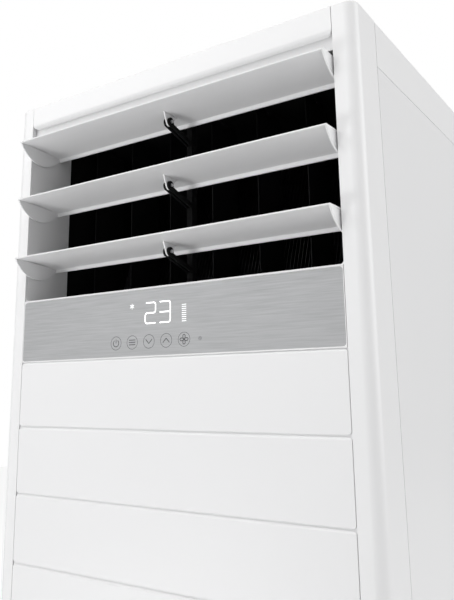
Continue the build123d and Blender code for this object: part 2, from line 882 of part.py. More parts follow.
with BuildPart() as vane_motor:
    can_top = outlet_bottom - duct_wall
    can_x = vane_places[driven_vane]
    rod((can_x, vane_axis_y, can_top), (can_x, vane_axis_y, can_top - vane_motor_length), vane_motor_radius)
    block((can_x - vane_motor_ear, can_x + vane_motor_ear),
          (vane_axis_y - vane_motor_ear_half, vane_axis_y + vane_motor_ear_half),
          (can_top - vane_motor_ear_wall, can_top))
    drive_end = outlet_bottom - vane_pin_reach - vane_drive_reach
    rod((can_x, vane_axis_y, can_top), (can_x, vane_axis_y, drive_end), vane_pin_radius + running_fit,
        Mode.SUBTRACT)
finish(vane_motor, "vane_motor")

# ---------------------------------------------------------------- display strip
carrier_top = outlet_bottom - sill_height - panel_fit
carrier_bottom = display_bottom
plate_half = infill_half - plate_margin
plate_top = carrier_top - plate_top_margin
plate_bottom = carrier_bottom + plate_bottom_margin
plate_middle = (plate_top + plate_bottom) / 2
plate_height = plate_top - plate_bottom

with BuildPart() as display_carrier:
    block((-infill_half, infill_half), (fy(0), fy(carrier_depth)), (carrier_bottom, carrier_top))
    with BuildSketch(facing(0)):
        with Locations((0, plate_middle)):
            RectangleRounded(2 * plate_half, plate_height, plate_corner)
    extrude(amount=-plate_wall, mode=Mode.SUBTRACT)
    back_half = infill_half - carrier_wall
    block((-back_half, back_half), (fy(plate_wall + carrier_wall), fy(carrier_depth)),
          (carrier_bottom + carrier_wall, carrier_top - carrier_wall), Mode.SUBTRACT)
    with BuildSketch(facing(plate_wall)):
        with Locations((0, plate_middle)):
            RectangleRounded(window_width, window_height, plate_corner)
    extrude(amount=-carrier_wall, mode=Mode.SUBTRACT)
finish(display_carrier, "display_carrier")

with BuildPart() as display_plate:
    with BuildSketch(facing(0)):
        with Locations((0, plate_middle)):
            RectangleRounded(2 * plate_half, plate_height, plate_corner)
    extrude(amount=-plate_wall)
finish(display_plate, "display_plate")

with BuildPart() as display_board:
    with BuildSketch(facing(plate_wall + carrier_wall)):
        with Locations((0, plate_middle)):
            RectangleRounded(window_width + board_margin, window_height + board_margin, plate_corner)
    extrude(amount=-board_wall)
    with BuildSketch(facing(plate_wall + carrier_wall)):
        with Locations((0, plate_middle)):
            with GridLocations(lamp_pitch, 1, lamp_count, 1):
                Rectangle(lamp_width, lamp_length)
    extrude(amount=lamp_height)
finish(display_board, "display_board")


# ---------------------------------------------------------------- planked front
def planks(count, bottom, gap):
    """Raised boards with rounded corners and eased edges, one above the other."""
    board_height = plank_pitch - gap
    with BuildPart() as boards:
        with BuildSketch(facing(plank_rise)):
            for i in range(count):
                with Locations((0, bottom + gap + i * plank_pitch + board_height / 2)):
                    RectangleRounded(2 * infill_half, board_height, plank_corner)
        extrude(amount=plank_rise)
        for front in boards.faces().filter_by(Axis.Y).group_by(Axis.Y)[0]:
            fillet(front.outer_wire().edges(), plank_edge)
    return boards.part


front_boards = planks(front_planks, front_bottom, plank_gap)
with BuildPart() as front_panel:
    add(front_boards)
    panel_back = plank_rise + plank_back
    block((-infill_half, infill_half), (fy(plank_rise), fy(panel_back)), (front_bottom, display_bottom))
    for side in (-1, 1):
        block((side * infill_half, side * (infill_half - plank_back)), (fy(plank_rise), fy(rib_depth)),
              (front_bottom, display_bottom))
    block((-infill_half, infill_half), (fy(plank_rise), fy(front_flange_depth)),
          (front_bottom, front_bottom + plank_back))
    block((-infill_half, infill_half), (fy(plank_rise), fy(rib_depth)),
          (display_bottom - plank_back, display_bottom))
finish(front_panel, "front_panel")

grille_boards = planks(grille_planks, plinth_top, plank_gap)
with BuildPart() as intake_grille:
    add(grille_boards)
    grille_bottom = plinth_top + plank_gap
    grille_top = front_bottom - infill_seam
    block((-infill_half, infill_half), (fy(plank_rise), fy(panel_back)), (grille_bottom, grille_top))
    rib_span = 2 * (infill_half - rib_inset) - rib_wall
    rib_places = [-rib_span / 2 + i * rib_span / (rib_count - 1) for i in range(rib_count)]
    slot_half = rib_span / 2 - rib_wall
    for i in range(1, grille_planks):
        slot_z = plinth_top + i * plank_pitch + plank_gap / 2
        block((-slot_half, slot_half), (fy(0), fy(panel_back)),
              (slot_z - slot_height / 2, slot_z + slot_height / 2), Mode.SUBTRACT)
        slat_front = panel_back + slat_setback
        block((rib_places[0], rib_places[-1]), (fy(slat_front), fy(slat_front + slat_wall)),
              (slot_z - slat_height / 2, slot_z + slat_height / 2))
    for x in rib_places:
        block((x - rib_wall / 2, x + rib_wall / 2), (fy(panel_back), fy(panel_back + rib_depth)),
              (hinge_z - hinge_pin_radius - rib_wall / 2, grille_top - plank_back))
    hinge_half = rib_places[-1]
    hinge_eye = 2 * hinge_pin_radius
    for side in (-1, 1):
        hinge_x = side * hinge_half
        block((hinge_x - rib_wall / 2, hinge_x + rib_wall / 2), (fy(panel_back), fy(hinge_depth + hinge_eye)),
              (hinge_z - hinge_eye, hinge_z + hinge_eye))
        rod((hinge_x - rib_wall, fy(hinge_depth), hinge_z), (hinge_x + rib_wall, fy(hinge_depth), hinge_z),
            hinge_pin_radius + running_fit, Mode.SUBTRACT)
finish(intake_grille, "intake_grille")

with BuildPart() as plinth_cover:
    block((-infill_half, infill_half), (fy(0), fy(plinth_wall)), (base_top, plinth_top))
    fillet(plinth_cover.edges().filter_by(Axis.X).group_by(Axis.Y)[0].sort_by(Axis.Z)[-1], plank_edge)
    block((-infill_half, infill_half), (fy(plinth_wall), fy(front_flange_depth)),
          (plinth_top - plinth_wall, plinth_top))
    for side in (-1, 1):
        block((side * infill_half, side * (infill_half - plinth_wall)), (fy(plinth_wall), fy(rib_depth)),
              (base_top, plinth_top))
        lug_x = hinge_half - rib_wall / 2 - hinge_side_gap
        lug_back = filter_frame_depth - 2 * panel_fit
        with BuildSketch(Plane.YZ.offset(side * lug_x)):
            with Locations((fy(hinge_depth), hinge_z)):
                Circle(hinge_pin_radius)
            with Locations((fy(lug_back - hinge_lug_post / 2), (plinth_top - plinth_wall + hinge_z) / 2)):
                Rectangle(hinge_lug_post, hinge_z - plinth_top + plinth_wall)
            make_hull()
        extrude(amount=-side * hinge_lug_wall)
        pin_x = hinge_half + rib_wall
        rod((side * lug_x, fy(hinge_depth), hinge_z), (side * pin_x, fy(hinge_depth), hinge_z),
            hinge_pin_radius)
finish(plinth_cover, "plinth_cover")

# ---------------------------------------------------------------- filters
slot_front = filter_frame_depth + filter_frame_wall
slot_back = slot_front + filter_wall + 2 * filter_play
frame_low = plinth_top
frame_high = front_bottom - panel_fit
ledge_top = frame_low + filter_ledge
web_half = filter_frame_wall / 2

with BuildPart() as filter_frame:
    block((-infill_half, infill_half), (fy(slot_back), fy(slot_back + filter_frame_wall)),
          (frame_low, frame_high))
    for side in (-1, 1):
        near = web_half + window_border
        far = infill_half - window_border
        block((side * near, side * far), (fy(slot_back), fy(slot_back + filter_frame_wall)),
              (ledge_top + window_border, frame_high - filter_lift - window_border), Mode.SUBTRACT)
        block((side * infill_half, side * (infill_half - filter_frame_wall)),
              (fy(filter_frame_depth), fy(slot_back)), (frame_low, frame_high))
        block((side * infill_half, side * (infill_half - filter_lip)),
              (fy(filter_frame_depth), fy(slot_front)), (frame_low, frame_high))
    block((-web_half, web_half), (fy(filter_frame_depth), fy(slot_back)), (frame_low, frame_high))
    block((-filter_lip, filter_lip), (fy(filter_frame_depth), fy(slot_front)), (frame_low, frame_high))
    block((-infill_half, infill_half), (fy(filter_frame_depth), fy(slot_back)),
          (ledge_top - filter_frame_wall, ledge_top))
finish(filter_frame, "filter_frame")


def air_filter(side):
    """A net in a thin bordered frame that stands on the ledge between its rails."""
    near = side * (web_half + filter_play)
    far = side * (infill_half - filter_frame_wall - filter_play)
    low = ledge_top
    high = frame_high - filter_lift - 2 * filter_play
    inner_near = near + side * filter_border
    inner_far = far - side * filter_border
    front = slot_front + filter_play
    with BuildPart() as net_frame:
        block((near, far), (fy(front), fy(front + filter_wall)), (low, high))
        block((inner_near, inner_far), (fy(front), fy(front + filter_wall)),
              (low + filter_border, high - filter_border), Mode.SUBTRACT)
        net_middle = front + filter_wall / 2
        block((inner_near, inner_far), (fy(net_middle - filter_net / 2), fy(net_middle + filter_net / 2)),
              (low + filter_border, high - filter_border))
        for i in range(1, filter_bars):
            bar_height = low + i * (high - low) / filter_bars
            block((near, far), (fy(net_middle - filter_bar / 2), fy(net_middle + filter_bar / 2)),
                  (bar_height - filter_bar / 2, bar_height + filter_bar / 2))
    return net_frame


air_filter_right = air_filter(1)
finish(air_filter_right, "air_filter_right")
air_filter_left = air_filter(-1)
finish(air_filter_left, "air_filter_left")

# ---------------------------------------------------------------- fan: deck, scroll, wheel and motor
fan_back = fan_front + fan_width
scroll_end = coil_half
tongue_x = scroll_start * cos(radians(tongue_angle))


def scroll_outline(grow):
    """The scroll seen from the front: a growing spiral, open to a straight neck up to the deck."""
    turn = 2 * pi - radians(tongue_angle)
    points = []
    for i in range(scroll_steps + 1):
        angle = radians(tongue_angle) + turn * i / scroll_steps
        radius = scroll_start + (scroll_end - scroll_start) * i / scroll_steps + grow
        points.append((radius * cos(angle), fan_z + radius * sin(angle)))
    neck = (tongue_x - grow, scroll_end + grow)
    with BuildSketch() as outline:
        with BuildLine():
            Spline(*points)
            Polyline(points[-1], (0, fan_z), points[0])
        make_face()
        with BuildLine():
            Polyline((0, fan_z), (neck[0] + 2 * grow, fan_z), points[0], (0, fan_z))
        make_face()
        with Locations(((neck[0] + neck[1]) / 2, (fan_z + deck_underside) / 2)):
            Rectangle(neck[1] - neck[0], deck_underside - fan_z)
    return outline.sketch


with BuildPart() as blower_housing:
    with BuildSketch(facing(fan_front)):
        add(scroll_outline(scroll_sheet))
    extrude(amount=-fan_width)
    with BuildSketch(facing(fan_front + scroll_sheet)):
        add(scroll_outline(0))
    extrude(amount=-(fan_width - 2 * scroll_sheet), mode=Mode.SUBTRACT)
    rod((0, fy(fan_front), fan_z), (0, fy(fan_front + scroll_sheet), fan_z), inlet_radius, Mode.SUBTRACT)
    rod((0, fy(fan_back - scroll_sheet), fan_z), (0, fy(fan_back), fan_z), motor_hole_radius, Mode.SUBTRACT)
finish(blower_housing, "blower_housing")

fan_axis = Axis((0, 0, fan_z), (0, 1, 0))
with BuildPart() as inlet_ring:
    with BuildSketch(Plane(origin=(0, fy(fan_front), fan_z), x_dir=(1, 0, 0), z_dir=(0, 0, 1))):
        lip_r = inlet_throat + inlet_lead
        bend_in = inlet_lead - inlet_wall
        outer_bend = (lip_r - inlet_lead * cos(pi / 4), -inlet_lead * sin(pi / 4))
        inner_bend = (lip_r - bend_in * cos(pi / 4), -bend_in * sin(pi / 4))
        with BuildLine():
            Line((inlet_throat, inlet_reach), (inlet_throat, 0))
            ThreePointArc((inlet_throat, 0), outer_bend, (lip_r, -inlet_lead))
            Line((lip_r, -inlet_lead), (lip_r, -bend_in))
            ThreePointArc((lip_r, -bend_in), inner_bend, (inlet_throat + inlet_wall, 0))
            Polyline((inlet_throat + inlet_wall, 0), (inlet_throat + inlet_wall, inlet_reach),
                     (inlet_throat, inlet_reach))
        make_face()
        flange_end = inlet_radius + inlet_flange
        with Locations(((inlet_throat + flange_end) / 2 + inlet_wall / 2, -inlet_wall / 2)):
            Rectangle(flange_end - inlet_throat - inlet_wall, inlet_wall)
    revolve(axis=fan_axis)
finish(inlet_ring, "inlet_ring")

wheel_front = fan_front + scroll_sheet + wheel_front_gap
wheel_back = fan_back - scroll_sheet - wheel_back_gap
blade_root = wheel_radius - blade_depth

with BuildSketch() as blade_section:
    def polar(radius, degrees):
        return (radius * cos(radians(degrees)), radius * sin(radians(degrees)))

    blade_mid = (wheel_radius + blade_root) / 2
    blade_turn = blade_wall / blade_mid * 180 / pi
    with BuildLine():
        ThreePointArc(polar(blade_root, 0), polar(blade_mid, blade_bow), polar(wheel_radius, blade_sweep))
        Line(polar(wheel_radius, blade_sweep), polar(wheel_radius, blade_sweep + blade_turn))
        ThreePointArc(polar(wheel_radius, blade_sweep + blade_turn),
                      polar(blade_mid, blade_bow + blade_turn), polar(blade_root, blade_turn))
        Line(polar(blade_root, blade_turn), polar(blade_root, 0))
    make_face()

with BuildPart() as blower_wheel:
    wheel_plane = Plane(origin=(0, fy(wheel_front), fan_z), x_dir=(1, 0, 0), z_dir=(0, -1, 0))
    with BuildSketch(wheel_plane):
        with PolarLocations(0, blade_count):
            add(blade_section.sketch)
    extrude(amount=-(wheel_back - wheel_front))
    with BuildSketch(wheel_plane):
        Circle(wheel_radius + blade_wall)
        Circle(blade_root - blade_wall, mode=Mode.SUBTRACT)
    extrude(amount=-wheel_rim)
    rod((0, fy(wheel_back - wheel_disc), fan_z), (0, fy(wheel_back), fan_z), wheel_radius + blade_wall)
    rod((0, fy(wheel_back - hub_length), fan_z), (0, fy(wheel_back), fan_z), hub_radius)
    rod((0, fy(wheel_back - hub_length), fan_z), (0, fy(wheel_back), fan_z), shaft_radius + shaft_fit,
        Mode.SUBTRACT)
finish(blower_wheel, "blower_wheel")

motor_front = fan_back + bracket_wall
motor_back = motor_front + motor_length
with BuildPart() as fan_shaft:
    rod((0, fy(wheel_back - hub_length - shaft_overhang), fan_z), (0, fy(motor_back + shaft_overhang), fan_z),
        shaft_radius)
finish(fan_shaft, "fan_shaft")

with BuildPart() as motor_bracket:
    rod((0, fy(fan_back), fan_z), (0, fy(motor_front), fan_z), bracket_radius)
    rod((0, fy(fan_back), fan_z), (0, fy(motor_front), fan_z), motor_boss_radius + panel_fit, Mode.SUBTRACT)
finish(motor_bracket, "motor_bracket")

with BuildPart() as fan_motor:
    rod((0, fy(motor_front), fan_z), (0, fy(motor_back), fan_z), motor_radius)
    fillet(fan_motor.edges().filter_by(GeomType.CIRCLE).sort_by(Axis.Y)[-1], motor_boss_length)
    rod((0, fy(motor_front - motor_boss_length), fan_z), (0, fy(motor_front), fan_z), motor_boss_radius)
    rod((0, fy(motor_front - motor_boss_length), fan_z), (0, fy(motor_back), fan_z),
        shaft_radius + running_fit, Mode.SUBTRACT)
finish(fan_motor, "fan_motor")

# ---------------------------------------------------------------- coil
fin_count = int((2 * coil_half - coil_fin) / coil_fin_pitch) + 1
with BuildPart() as evaporator_fins:
    with BuildSketch(coil_plane):
        Rectangle(2 * coil_half, coil_web)
        with GridLocations(coil_fin_pitch, 1, fin_count, 1):
            Rectangle(coil_fin, coil_thickness)
    extrude(amount=coil_length)
finish(evaporator_fins, "evaporator_fins")

baffle_half = half_width - side_flange - panel_fit
with BuildPart() as coil_end_plates:
    with BuildSketch(coil_plane):
        with GridLocations(2 * coil_half + end_sheet, 1, 2, 1):
            Rectangle(end_sheet, coil_thickness)
    extrude(amount=coil_length)
    with BuildSketch(coil_plane.offset(baffle_start)):
        with GridLocations(baffle_half + coil_half, 1, 2, 1):
            with Locations((0, (end_sheet - coil_thickness) / 2)):
                Rectangle(baffle_half - coil_half, end_sheet)
    extrude(amount=coil_length - baffle_start)
finish(coil_end_plates, "coil_end_plates")

bend_count = int((coil_length - 2 * bend_radius) / bend_pitch)
with BuildPart() as evaporator_bends:
    for side in (-1, 1):
        for i in range(bend_count):
            run = (i + 1) * bend_pitch
            centre = coil_plane.from_local_coords((side * (coil_half + end_sheet), bend_offset, run))
            start = coil_plane.from_local_coords(
                (side * (coil_half + end_sheet), bend_offset, run + bend_radius))
            with BuildSketch(Plane(origin=start, x_dir=coil_plane.y_dir, z_dir=(1, 0, 0))):
                Circle(tube_radius)
            revolve(axis=Axis(centre, coil_plane.y_dir * side), revolution_arc=180)
finish(evaporator_bends, "evaporator_bends")


# ---------------------------------------------------------------- pipes from the coil to the connections
def pipe(start, radius):
    """A tube out of the end plate, round an elbow and straight down."""
    with BuildPart() as tube:
        with BuildLine():
            FilletPolyline(
                (start.X, start.Y, start.Z),
                (pipe_side, start.Y, start.Z),
                (pipe_side, start.Y, pipe_end_z),
                radius=elbow_radius,
            )
        with BuildSketch(Plane(origin=start, z_dir=(1, 0, 0))):
            Circle(radius)
            Circle(radius - pipe_wall, mode=Mode.SUBTRACT)
        sweep()
    return tube


gas_pipe = pipe(gas_start, gas_radius)
finish(gas_pipe, "gas_pipe")
liquid_pipe = pipe(liquid_start, liquid_radius)
finish(liquid_pipe, "liquid_pipe")

with BuildPart() as flare_unions:
    for start, size, bore in (
        (gas_start, union_gas, gas_radius - pipe_wall),
        (liquid_start, union_liquid, liquid_radius - pipe_wall),
    ):
        with BuildSketch(Plane.XY.offset(pipe_end_z)):
            with Locations((pipe_side, start.Y)):
                RegularPolygon(size, 6)
        extrude(amount=-union_hex)
        hex_end = pipe_end_z - union_hex
        stub_end = hex_end - union_stub
        rod((pipe_side, start.Y, hex_end), (pipe_side, start.Y, stub_end), size - union_step)
        rod((pipe_side, start.Y, pipe_end_z), (pipe_side, start.Y, stub_end), bore, Mode.SUBTRACT)
finish(flare_unions, "flare_unions")

pan_floor = deck_z + pan_wall
pan_half = duct_half
with BuildPart() as drain_pan:
    block((-pan_half, pan_half), (fy(pan_front), fy(pan_back)), (deck_z, deck_z + pan_height))
    block((-pan_half + pan_wall, pan_half - pan_wall), (fy(pan_front + pan_wall), fy(pan_back - pan_wall)),
          (pan_floor, deck_z + pan_height), Mode.SUBTRACT)
    for side in (-1, 1):
        block((side * (coil_half - pan_wall), side * (coil_half + end_sheet)),
              (fy(pan_front), fy(pan_back)), (pan_floor, pan_floor + pan_rib))
    rod((drain_x, fy(drain_depth), deck_z), (drain_x, fy(drain_depth), pan_floor), drain_radius + drain_fit,
        Mode.SUBTRACT)
finish(drain_pan, "drain_pan")

with BuildPart() as drain_pipe:
    rod((drain_x, fy(drain_depth), pan_floor), (drain_x, fy(drain_depth), pipe_end_z), drain_radius)
    rod((drain_x, fy(drain_depth), pipe_end_z), (drain_x, fy(drain_depth), pipe_end_z - drain_tail),
        drain_tail_radius)
    rod((drain_x, fy(drain_depth), pan_floor), (drain_x, fy(drain_depth), pipe_end_z - drain_tail),
        drain_bore, Mode.SUBTRACT)
finish(drain_pipe, "drain_pipe")

with BuildPart() as fan_deck:
    deck_x = half_width - side_sheet - panel_fit
    tongue_half = baffle_half
    deck_y = (panel_front + side_sheet + panel_fit, flange_back - side_sheet - panel_fit)
    deck_front = fy(rib_depth + panel_fit)
    for half, span in ((deck_x, deck_y), (tongue_half, (deck_front, deck_y[1]))):
        block((-half, half), span, (deck_underside, deck_z))
    block((-tongue_half, tongue_half), (deck_front, deck_front + deck_sheet),
          (deck_underside - deck_flange, deck_underside))
    for side in (-1, 1):
        block((side * deck_x, side * (deck_x - deck_sheet)), deck_y, (deck_underside - deck_flange, deck_z))
    block((tongue_x, scroll_end), (fy(pan_back + pan_neck_gap), fy(fan_back - scroll_sheet)),
          (deck_underside, deck_z), Mode.SUBTRACT)
    for x, y, radius in (
        (pipe_side, gas_start.Y, gas_radius),
        (pipe_side, liquid_start.Y, liquid_radius),
        (drain_x, fy(drain_depth), drain_radius),
    ):
        rod((x, y, deck_underside), (x, y, deck_z), radius + pipe_hole_gap, Mode.SUBTRACT)
finish(fan_deck, "fan_deck")

# ---------------------------------------------------------------- electrical box
box_floor = foot_height + base_sheet
box_xs = (box_x - box_width / 2, box_x + box_width / 2)
box_ys = (fy(box_front), fy(box_front + box_depth))
box_zs = (box_floor, box_floor + box_height)

with BuildPart() as control_box:
    block(box_xs, box_ys, box_zs)
    block((box_xs[0] + box_sheet, box_xs[1] - box_sheet), (box_ys[0], box_ys[1] - box_sheet),
          (box_zs[0] + box_sheet, box_zs[1] - box_sheet), Mode.SUBTRACT)
finish(control_box, "control_box")

with BuildPart() as control_box_cover:
    block(box_xs, (box_ys[0] - box_sheet, box_ys[0]), box_zs)
finish(control_box_cover, "control_box_cover")

board_back = box_ys[1] - box_sheet - post_length
board_middle = (box_xs[0] + box_xs[1]) / 2
board_x = box_width / 2 - board_inset
board_low = box_zs[0] + board_inset + 2 * capacitor_radius
board_high = box_zs[1] - board_inset
with BuildPart() as main_board:
    block((board_middle - board_x, board_middle + board_x), (board_back - main_board_wall, board_back),
          (board_low, board_high))
    post_x = board_x - post_length
    for x in (board_middle - post_x, board_middle + post_x):
        for z in (board_low + post_length, board_high - post_length):
            rod((x, board_back, z), (x, board_back + post_length, z), post_length / 2)
    board_front = board_back - main_board_wall
    for i in (-1, 0, 1):
        chip_x = board_middle + 2 * i * chip_size
        block((chip_x - chip_size / 2, chip_x + chip_size / 2), (board_front - chip_height, board_front),
              ((board_low + board_high - chip_size) / 2, (board_low + board_high + chip_size) / 2))
finish(main_board, "main_board")

shelf_z = box_zs[0] + box_sheet
with BuildPart() as terminal_block:
    block_x = box_xs[0] + board_inset
    block_length = terminal_ways * terminal_size
    block_y = (box_ys[0] + board_inset, box_ys[0] + board_inset + 2 * terminal_size)
    block((block_x, block_x + block_length), block_y, (shelf_z, shelf_z + terminal_size))
    for i in range(terminal_ways + 1):
        wall_x = block_x + i * terminal_size
        block((wall_x - terminal_wall / 2, wall_x + terminal_wall / 2), block_y,
              (shelf_z, shelf_z + terminal_wall_height))
finish(terminal_block, "terminal_block")

with BuildPart() as run_capacitor:
    can_place = (box_xs[1] - board_inset - capacitor_radius, (box_ys[0] + box_ys[1]) / 2)
    rod((*can_place, shelf_z), (*can_place, shelf_z + capacitor_length), capacitor_radius)
finish(run_capacitor, "run_capacitor")


# ---------------------------------------------------------------- openings in the rear panel
def rear_sleeve(x, z, bore, wall, length, rim):
    """A rimmed sleeve that lines a hole in the rear panel."""
    outer_y = back_y - rear_inset
    with BuildPart() as sleeve:
        rod((x, outer_y, z), (x, outer_y - length + rim_thickness, z), bore + wall)
        rod((x, outer_y, z), (x, outer_y + rim_thickness, z), bore + wall + rim)
        rod((x, outer_y + rim_thickness, z), (x, outer_y - length + rim_thickness, z), bore, Mode.SUBTRACT)
    return sleeve


pipe_grommet = rear_sleeve(passage_x, passage_z, passage_radius, passage_wall, passage_length, passage_rim)
finish(pipe_grommet, "pipe_grommet")
cable_gland = rear_sleeve(gland_x, gland_z, gland_radius, gland_wall, gland_length, gland_rim)
finish(cable_gland, "cable_gland")
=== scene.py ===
"""Dresses the floor standing air conditioner: every part gets its real edges, surface and marks."""
import math

import bmesh
import bpy
from mathutils import Euler, Matrix, Vector


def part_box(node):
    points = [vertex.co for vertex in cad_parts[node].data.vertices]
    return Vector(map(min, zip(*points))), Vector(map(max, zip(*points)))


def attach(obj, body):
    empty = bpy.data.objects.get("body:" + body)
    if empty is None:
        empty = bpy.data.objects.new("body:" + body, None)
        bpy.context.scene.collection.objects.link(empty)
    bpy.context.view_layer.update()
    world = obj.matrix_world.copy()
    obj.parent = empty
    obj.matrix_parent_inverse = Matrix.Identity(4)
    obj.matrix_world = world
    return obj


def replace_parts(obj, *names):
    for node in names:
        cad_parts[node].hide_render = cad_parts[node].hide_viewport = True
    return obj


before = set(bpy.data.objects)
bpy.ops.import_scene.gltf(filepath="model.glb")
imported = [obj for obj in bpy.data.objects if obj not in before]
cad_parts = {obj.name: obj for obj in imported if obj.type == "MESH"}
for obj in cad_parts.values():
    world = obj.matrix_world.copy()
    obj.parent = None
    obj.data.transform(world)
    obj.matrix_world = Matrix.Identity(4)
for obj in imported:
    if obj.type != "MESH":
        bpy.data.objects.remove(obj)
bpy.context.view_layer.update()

scene = bpy.context.scene
mm = 0.001

# ------------------------------------------------------------------ camera
# The eye stands to the right of the cabinet, below its outlet, and looks up and across
# the front. The picture is an off-centre part of what a longer frame would show.
eye = Vector((0.5885, -0.9994, 1.3372))
eye_turn, eye_rise, eye_roll = 0.6725, 0.2232, 0.014
frame_width, frame_height = 454, 600
focal_pixels = 729.4956
principal_x, principal_y = 134.4327, 249.1157
film_width, nearest, farthest = 36.0, 0.02, 50.0

lens = bpy.data.cameras.new("camera")
lens.sensor_width = film_width
lens.lens = focal_pixels / frame_height * lens.sensor_width
lens.shift_x = (frame_width / 2 - principal_x) / frame_height
lens.shift_y = -(frame_height / 2 - principal_y) / frame_height
lens.clip_start, lens.clip_end = nearest, farthest
camera = bpy.data.objects.new("camera", lens)
camera.rotation_mode = "QUATERNION"
looking = Euler((math.pi / 2 + eye_rise, 0, eye_turn)).to_matrix() @ Matrix.Rotation(eye_roll, 3, "Z")
camera.rotation_quaternion = looking.to_quaternion()
camera.location = eye
scene.collection.objects.link(camera)
scene.camera = camera

# ------------------------------------------------------------------ studio
# A pale floor that runs out of sight and broad soft lights: one large sheet of light in
# front, one on the right, one overhead, and a small one low down that reaches under the
# louvers. What is behind the cabinet is plain white.
fill_strength, backdrop_strength = 0.25, 1.0
floor_reach, floor_rough, floor_cloud_scale = 14.0, 0.65, 1.5
floor_glow, floor_seen_glow = 0.30, 0.7
middle = (0, 0, 1.2)
outlet_middle = (0, -0.2, 1.62)
scene.view_settings.view_transform = "Standard"
scene.view_settings.look = "None"


def plug(tree, node, inputs):
    """Sets a node's inputs by name or number, or joins them to another node's socket."""
    for key, value in inputs.items():
        socket = node.inputs[key]
        if isinstance(value, bpy.types.NodeSocket):
            tree.links.new(value, socket)
        else:
            socket.default_value = value
    return node


def step(tree, kind, inputs=None, **settings):
    """Adds a node of that kind with its settings and inputs."""
    node = tree.nodes.new(kind)
    for key, value in settings.items():
        setattr(node, key, value)
    return plug(tree, node, inputs or {})


world = bpy.data.worlds.new("studio")
world.use_nodes = True
sky = world.node_tree
sky.nodes.clear()
seen_white = step(sky, "ShaderNodeBackground", {
    "Color": (1, 1, 1, 1), "Strength": backdrop_strength})
fill_light = step(sky, "ShaderNodeBackground", {"Color": (1, 1, 1, 1), "Strength": fill_strength})
ray = step(sky, "ShaderNodeLightPath")
sky_mix = step(sky, "ShaderNodeMixShader", {
    0: ray.outputs["Is Camera Ray"], 1: fill_light.outputs[0], 2: seen_white.outputs[0]})
step(sky, "ShaderNodeOutputWorld", {"Surface": sky_mix.outputs[0]})
scene.world = world

floor_mesh = bpy.data.meshes.new("studio_floor")
floor_mesh.from_pydata([(x, y, 0) for x, y in ((-1, -1), (1, -1), (1, 1), (-1, 1))], [], [(0, 1, 2, 3)])
floor_mesh.transform(Matrix.Scale(floor_reach, 4))
floor = bpy.data.objects.new("studio_floor", floor_mesh)
scene.collection.objects.link(floor)
floor_paint = bpy.data.materials.new("studio_floor")
floor_paint.use_nodes = True
paint_tree = floor_paint.node_tree
paint_shader = paint_tree.nodes["Principled BSDF"]
floor_cloud = step(paint_tree, "ShaderNodeTexNoise", {
    "Vector": step(paint_tree, "ShaderNodeTexCoord").outputs["Object"], "Scale": floor_cloud_scale})
floor_tone = step(paint_tree, "ShaderNodeMix", {
    0: floor_cloud.outputs[0], 6: (0.90, 0.90, 0.905, 1), 7: (0.93, 0.93, 0.932, 1)}, data_type="RGBA")
floor_seen = step(paint_tree, "ShaderNodeMapRange", {
    "Value": step(paint_tree, "ShaderNodeLightPath").outputs["Is Camera Ray"],
    "To Min": floor_glow, "To Max": floor_seen_glow})
plug(paint_tree, paint_shader, {
    "Base Color": floor_tone.outputs[2], "Roughness": floor_rough, "Emission Color": (1, 1, 1, 1),
    "Emission Strength": floor_seen.outputs[0]})
floor_mesh.materials.append(floor_paint)


def softbox(name, place, aim, size, watts, spread=180):
    """A sheet of light that faces a point, with an egg crate that narrows it to an angle."""
    light = bpy.data.lights.new(name, "AREA")
    light.shape = "RECTANGLE"
    light.size, light.size_y = size
    light.energy = watts
    light.spread = math.radians(spread)
    holder = bpy.data.objects.new(name, light)
    holder.location = place
    holder.rotation_mode = "QUATERNION"
    holder.rotation_quaternion = (Vector(aim) - Vector(place)).to_track_quat("-Z", "Y")
    scene.collection.objects.link(holder)


softbox("front_light", (-2.2, -2.8, 3.4), outlet_middle, (2.4, 2.0), 40)
softbox("right_light", (3.3, 0.9, 2.5), outlet_middle, (2.2, 2.6), 66)
softbox("top_light", (0.0, -1.7, 4.2), middle, (2.0, 1.6), 52)
softbox("low_light", (-1.2, -2.0, 0.45), outlet_middle, (1.0, 0.6), 1.35, spread=50)


# ------------------------------------------------------------------ corner mouldings, header and top cap
# Injection moulded in white plastic with a fine spark-eroded grain. Their edges are
# eased by the tool, and they clip over the sheet carcass.
moulding_edge = 0.4 * mm
weld_distance, flat_angle, fold_angle, face_weight = 0.002 * mm, math.radians(0.4), math.radians(32), 100


